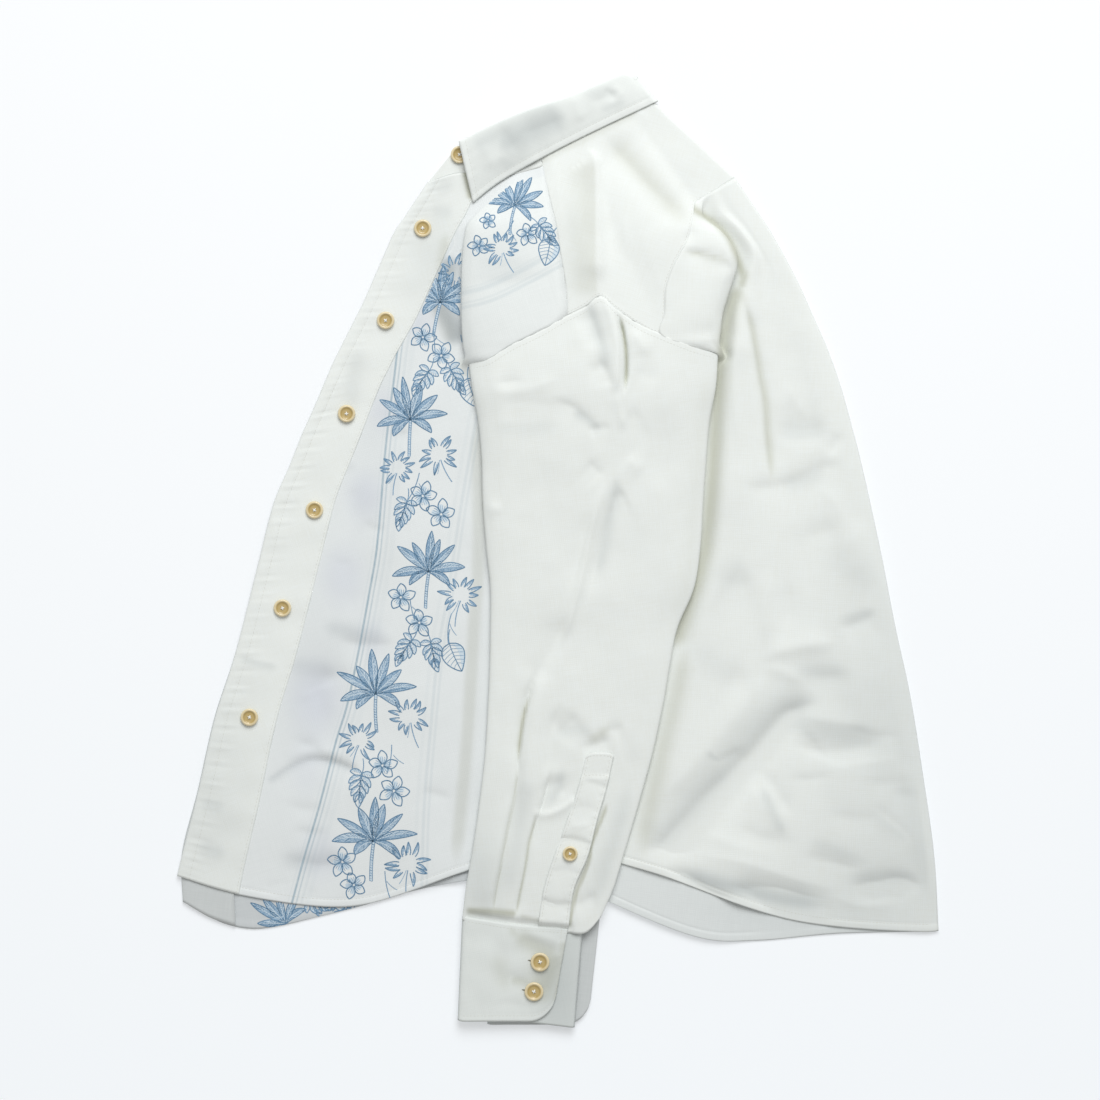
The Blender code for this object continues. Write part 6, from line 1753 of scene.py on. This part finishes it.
levelRules = {"panel": ("left_front_cloth", 0.0, 9.0), "over": ("left_front_cloth", 9.0, 40.0),
              "inside": ("right_front_cloth", 0.0, 9.0)}


# Stitches in the seams that show. Those of the front's hem start beside the placket.
stitchLook = {"length": 2.1, "pitch": 3.1, "width": 0.42, "rise": 0.16, "hemStart": 0.16,
              "colour": (0.62, 0.62, 0.56)}


def stitching():
    onCuff = cuffTopGrid[..., 2] > 8.2
    onLeaf = leafAcross < len(collarSections) - 0.4
    rows = (
        (placketGrid, "left", "placket", True), (placketGrid, "right", "placketSeam", True),
        (frontGrid, "bottom", "hem", True), (backGrid, "bottom", "hem", backAcross < 8.6),
        (sleevePlacketGrid, "left", "slit", True), (sleevePlacketGrid, "right", "slit", True),
        (sleevePlacketGrid, "top", "slitTop", True), (sleevePlacketGrid, "top", "slitBar", True),
        (cuffTopGrid, "bottom", "cuff", onCuff), (cuffTopGrid, "left", "cuff", onCuff),
        (cuffTopGrid, "top", "cuffSeam", onCuff),
        (leafGrid, "bottom", "collar", onLeaf), (leafGrid, "left", "collar", onLeaf),
        (yokeGrid, "bottom", "yoke", yokeGrid[..., 2] > 8.0),
        (sleeveGrid, "top", "armhole", sleeveAcross < len(sleeveShares) - 1.0))
    points, faces = [], []
    for grid, side, seam, shown in rows:
        line = railAt(grid, side, seams[seam])
        line = line[seenFrom(np.broadcast_to(shown, grid.shape[:2]), side)[0]]
        if len(line) < 3:
            continue
        line[:, 2] += cloth["bandThickness" if grid is cuffTopGrid or grid is leafGrid else "thickness"] / 2
        far = alongLine(line)
        start = far[-1] * (stitchLook["hemStart"] if grid is frontGrid else 0.0) + 1.0
        while start + stitchLook["length"] < far[-1]:
            dash = pointsAt(line, far, np.linspace(start, start + stitchLook["length"], 4))
            along = dash[-1] - dash[0]
            aside = np.array([-along[1], along[0], 0.0])
            aside *= stitchLook["width"] / 2 / max(np.linalg.norm(aside), 1e-6)
            number = len(points)
            for place, rise in zip(dash, (0.0, 1.0, 1.0, 0.0)):
                for step, lift in ((-1.0, -0.1), (0.0, stitchLook["rise"] * rise + 0.03), (1.0, -0.1)):
                    points.append(tuple((place + aside * step + (0.0, 0.0, lift)) * mm + shift))
            for a in (number, number + 3, number + 6):
                faces += [(a, a + 1, a + 4, a + 3), (a + 1, a + 2, a + 5, a + 4)]
            start += stitchLook["pitch"]
    material, _ = newMaterial("cream_stitches", {"Base Color": stitchLook["colour"], "Roughness": 0.75})
    meshPiece("stitching", points, faces, material)


holeLook = {"left": 10.6, "high": 1.6, "step": 1.1, "fall": 0.28, "gap": 0.75, "lift": 0.12,
            "colour": (0.20, 0.19, 0.15)}


def buttonholes(find):
    # Worked slits that the two cuff buttons pull open on their left, drawn as dark strips: painted shade
    # inside the open gaps
    points, faces = [], []
    for node in ("cuff_button_1", "cuff_button_2"):
        low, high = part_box(node)
        x, y = (((low.x + high.x) / 2 - shift[0]) / mm, ((low.y + high.y) / 2 - shift[1]) / mm)
        for k in range(6):
            across = x - holeLook["left"] + holeLook["step"] * k
            up = y + holeLook["high"] - holeLook["fall"] * k
            width = holeLook["gap"] * math.sin(math.pi * (k + 0.7) / 6.4)
            for side in (-width, width):
                spot = find(across, up + side)[0]
                points.append((spot.x, spot.y, spot.z + holeLook["lift"] * mm))
            if k:
                a = len(points) - 4
                faces.append((a, a + 1, a + 3, a + 2))
    material, _ = newMaterial("buttonhole_gap", {"Base Color": holeLook["colour"], "Roughness": 0.9})
    meshPiece("cuff_buttonholes", points, faces, material)


def surfaceFinder():
    # Finds the top of the cloth under a place, which piece it is, and its height
    graph = bpy.context.evaluated_depsgraph_get()
    corners, faces, owners = [], [], []
    for name, piece in pieces.items():
        if not name.endswith("_cloth"):
            continue
        mesh = piece.evaluated_get(graph).to_mesh()
        count = len(mesh.vertices)
        places = np.empty(count * 3, np.float32)
        mesh.vertices.foreach_get("co", places)
        first = len(corners)
        corners.extend(places.reshape(-1, 3).tolist())
        for polygon in mesh.polygons:
            faces.append([first + v for v in polygon.vertices])
            owners.append(name)
        piece.evaluated_get(graph).to_mesh_clear()
    tree = BVHTree.FromPolygons(corners, faces)
    down = Vector((0.0, 0.0, -1.0))

    def find(x, y):
        start = Vector((x * mm + shift[0], y * mm + shift[1], 0.5))
        spot, normal, index, _ = tree.ray_cast(start, down)
        if spot is None:
            return None, None, 0.0, None
        return spot, owners[index], spot.z / mm, normal
    return find


def ribbon(points, width):
    # Pairs of points along both sides of a drawn line, about a millimetre apart
    points = np.asarray(points, float)
    far = alongLine(points)
    line = pointsAt(points, far, np.linspace(0.0, far[-1], max(2, int(round(far[-1] / 1.1)) + 1)))
    direction = np.gradient(line, axis=0)
    direction /= np.maximum(np.linalg.norm(direction, axis=1, keepdims=True), 1e-9)
    side = np.stack([-direction[:, 1], direction[:, 0]], axis=1) * width / 2
    return line + side, line - side


def printMotifs(find):
    maker = np.random.default_rng(7)
    points, faces, tones = [], [], []

    def strip(left, right, tone, rule, lift):
        owner, low, high = rule
        before = None
        for a, b in zip(left, right):
            pair = []
            for spot in (a, b):
                place, name, level, normal = find(*spot)
                if name == owner and low <= level <= high and normal.z > 0.25:
                    pair.append(len(points))
                    points.append(place + normal * (lift * mm))
                    tones.append(tone)
            if len(pair) == 2 and before:
                faces.append((before[0], before[1], pair[1], pair[0]))
            before = pair if len(pair) == 2 else None

    for level, kind, x, y, size, turn in [(level, *row) for level, rows in printPlan.items() for row in rows]:
        lines, fills = motifs[kind](maker)
        angle = math.radians(turn)
        spin = np.array([[math.cos(angle), math.sin(angle)], [-math.sin(angle), math.cos(angle)]])
        rule = levelRules[level]

        def placed(line):
            return np.asarray(line) @ spin * size + (x, y)

        for left, right, tone in fills:
            a, b = placed(left), placed(right)
            strip(a, lerp(a, b, 0.5), tone, rule, inkLook["lift"] * 0.6)
            strip(lerp(a, b, 0.5), b, tone, rule, inkLook["lift"] * 0.6)
        for line, width, tone in lines:
            a, b = ribbon(placed(line), width)
            strip(a, b, tone, rule, inkLook["lift"])
    piece = meshPiece("front_print", points, faces, materials["ink"])
    paint(piece, "tone", tones)
    return len(faces)


materials["ink"] = inkMaterial()
findTop = surfaceFinder()
print("print drawn:", printMotifs(findTop), "faces")
buttonholes(findTop)
stitching()
print("stitched:", len(pieces["stitching"].data.polygons), "faces")

# Floor, light and camera. The sun is broad daylight from beyond the collar.
# The floor's glow is painted light that lifts the shadows on it. Its colour is painted darker towards the far
# end, where the lamp's light is stronger, and bluer towards the near end
stageLook = {"floorFar": (0.580, 0.590, 0.602), "floorNear": (0.596, 0.626, 0.656), "floorGlow": 0.365,
             "glowColour": (0.985, 0.995, 1.0), "floorSize": 14.0, "floorReach": 0.55, "dome": 0.45,
             "domeColour": (1.0, 0.994, 0.978)}
sunLook = {"from": (0.20, 1.0, 1.08), "strength": 1.16, "softness": 46.0, "colour": (0.985, 0.995, 1.0)}
lampLook = {"from": (0.15, 1.5, 1.6), "size": 1.5, "strength": 20.0, "colour": (0.985, 0.995, 1.0)}
pictureCentre = {"x": -6.525, "y": 3.045, "span": 957.0}
cameraDistance = 3.0


def stage():
    size = stageLook["floorSize"] / 2
    mesh = bpy.data.meshes.new("floor")
    mesh.from_pydata([(-size, -size, -0.0004), (size, -size, -0.0004), (size, size, -0.0004),
                      (-size, size, -0.0004)], [], [(0, 1, 2, 3)])
    floor = newObject("floor", mesh)
    # Painted light: the floor glows of itself, and its colour is darker towards the far end
    material, tree = newMaterial("pale_floor", {
        "Roughness": 0.9, "Specular IOR Level": 0.0, "Emission Color": stageLook["glowColour"],
        "Emission Strength": stageLook["floorGlow"]})
    place = addNode(tree, "SeparateXYZ", {"Vector": addNode(tree, "TexCoord", {})["Object"]})["Y"]
    upward = spread(tree, place, -stageLook["floorReach"], stageLook["floorReach"])
    colourIt(tree, mixTones(tree, upward, stageLook["floorNear"], stageLook["floorFar"]))
    mesh.materials.append(material)
    world = bpy.data.worlds.new("soft_dome")
    bpy.context.scene.world = world
    world.use_nodes = True
    background = world.node_tree.nodes["Background"]
    background.inputs["Color"].default_value = (*stageLook["domeColour"], 1.0)
    background.inputs["Strength"].default_value = stageLook["dome"]


def addLight(name, kind, look):
    data = bpy.data.lights.new(name, kind)
    data.energy = look["strength"]
    data.color = look["colour"]
    lamp = newObject(name, data)
    lamp.rotation_euler = (-Vector(look["from"])).to_track_quat("-Z", "Y").to_euler()
    if kind == "SUN":
        data.angle = math.radians(look["softness"])
    else:
        data.shape = "DISK"
        data.size = look["size"]
        lamp.location = look["from"]


def camera():
    data = bpy.data.cameras.new("camera")
    data.sensor_width = 36.0
    data.sensor_height = 36.0
    data.lens = data.sensor_width * cameraDistance / (pictureCentre["span"] * mm)
    data.clip_end = 20.0
    eye = newObject("camera", data)
    eye.location = (pictureCentre["x"] * mm + shift[0], pictureCentre["y"] * mm + shift[1], cameraDistance)
    bpy.context.scene.camera = eye


stage()
addLight("window_daylight", "SUN", sunLook)
addLight("window_near", "AREA", lampLook)
camera()
bpy.context.scene.view_settings.view_transform = "Standard"
print("stage set")
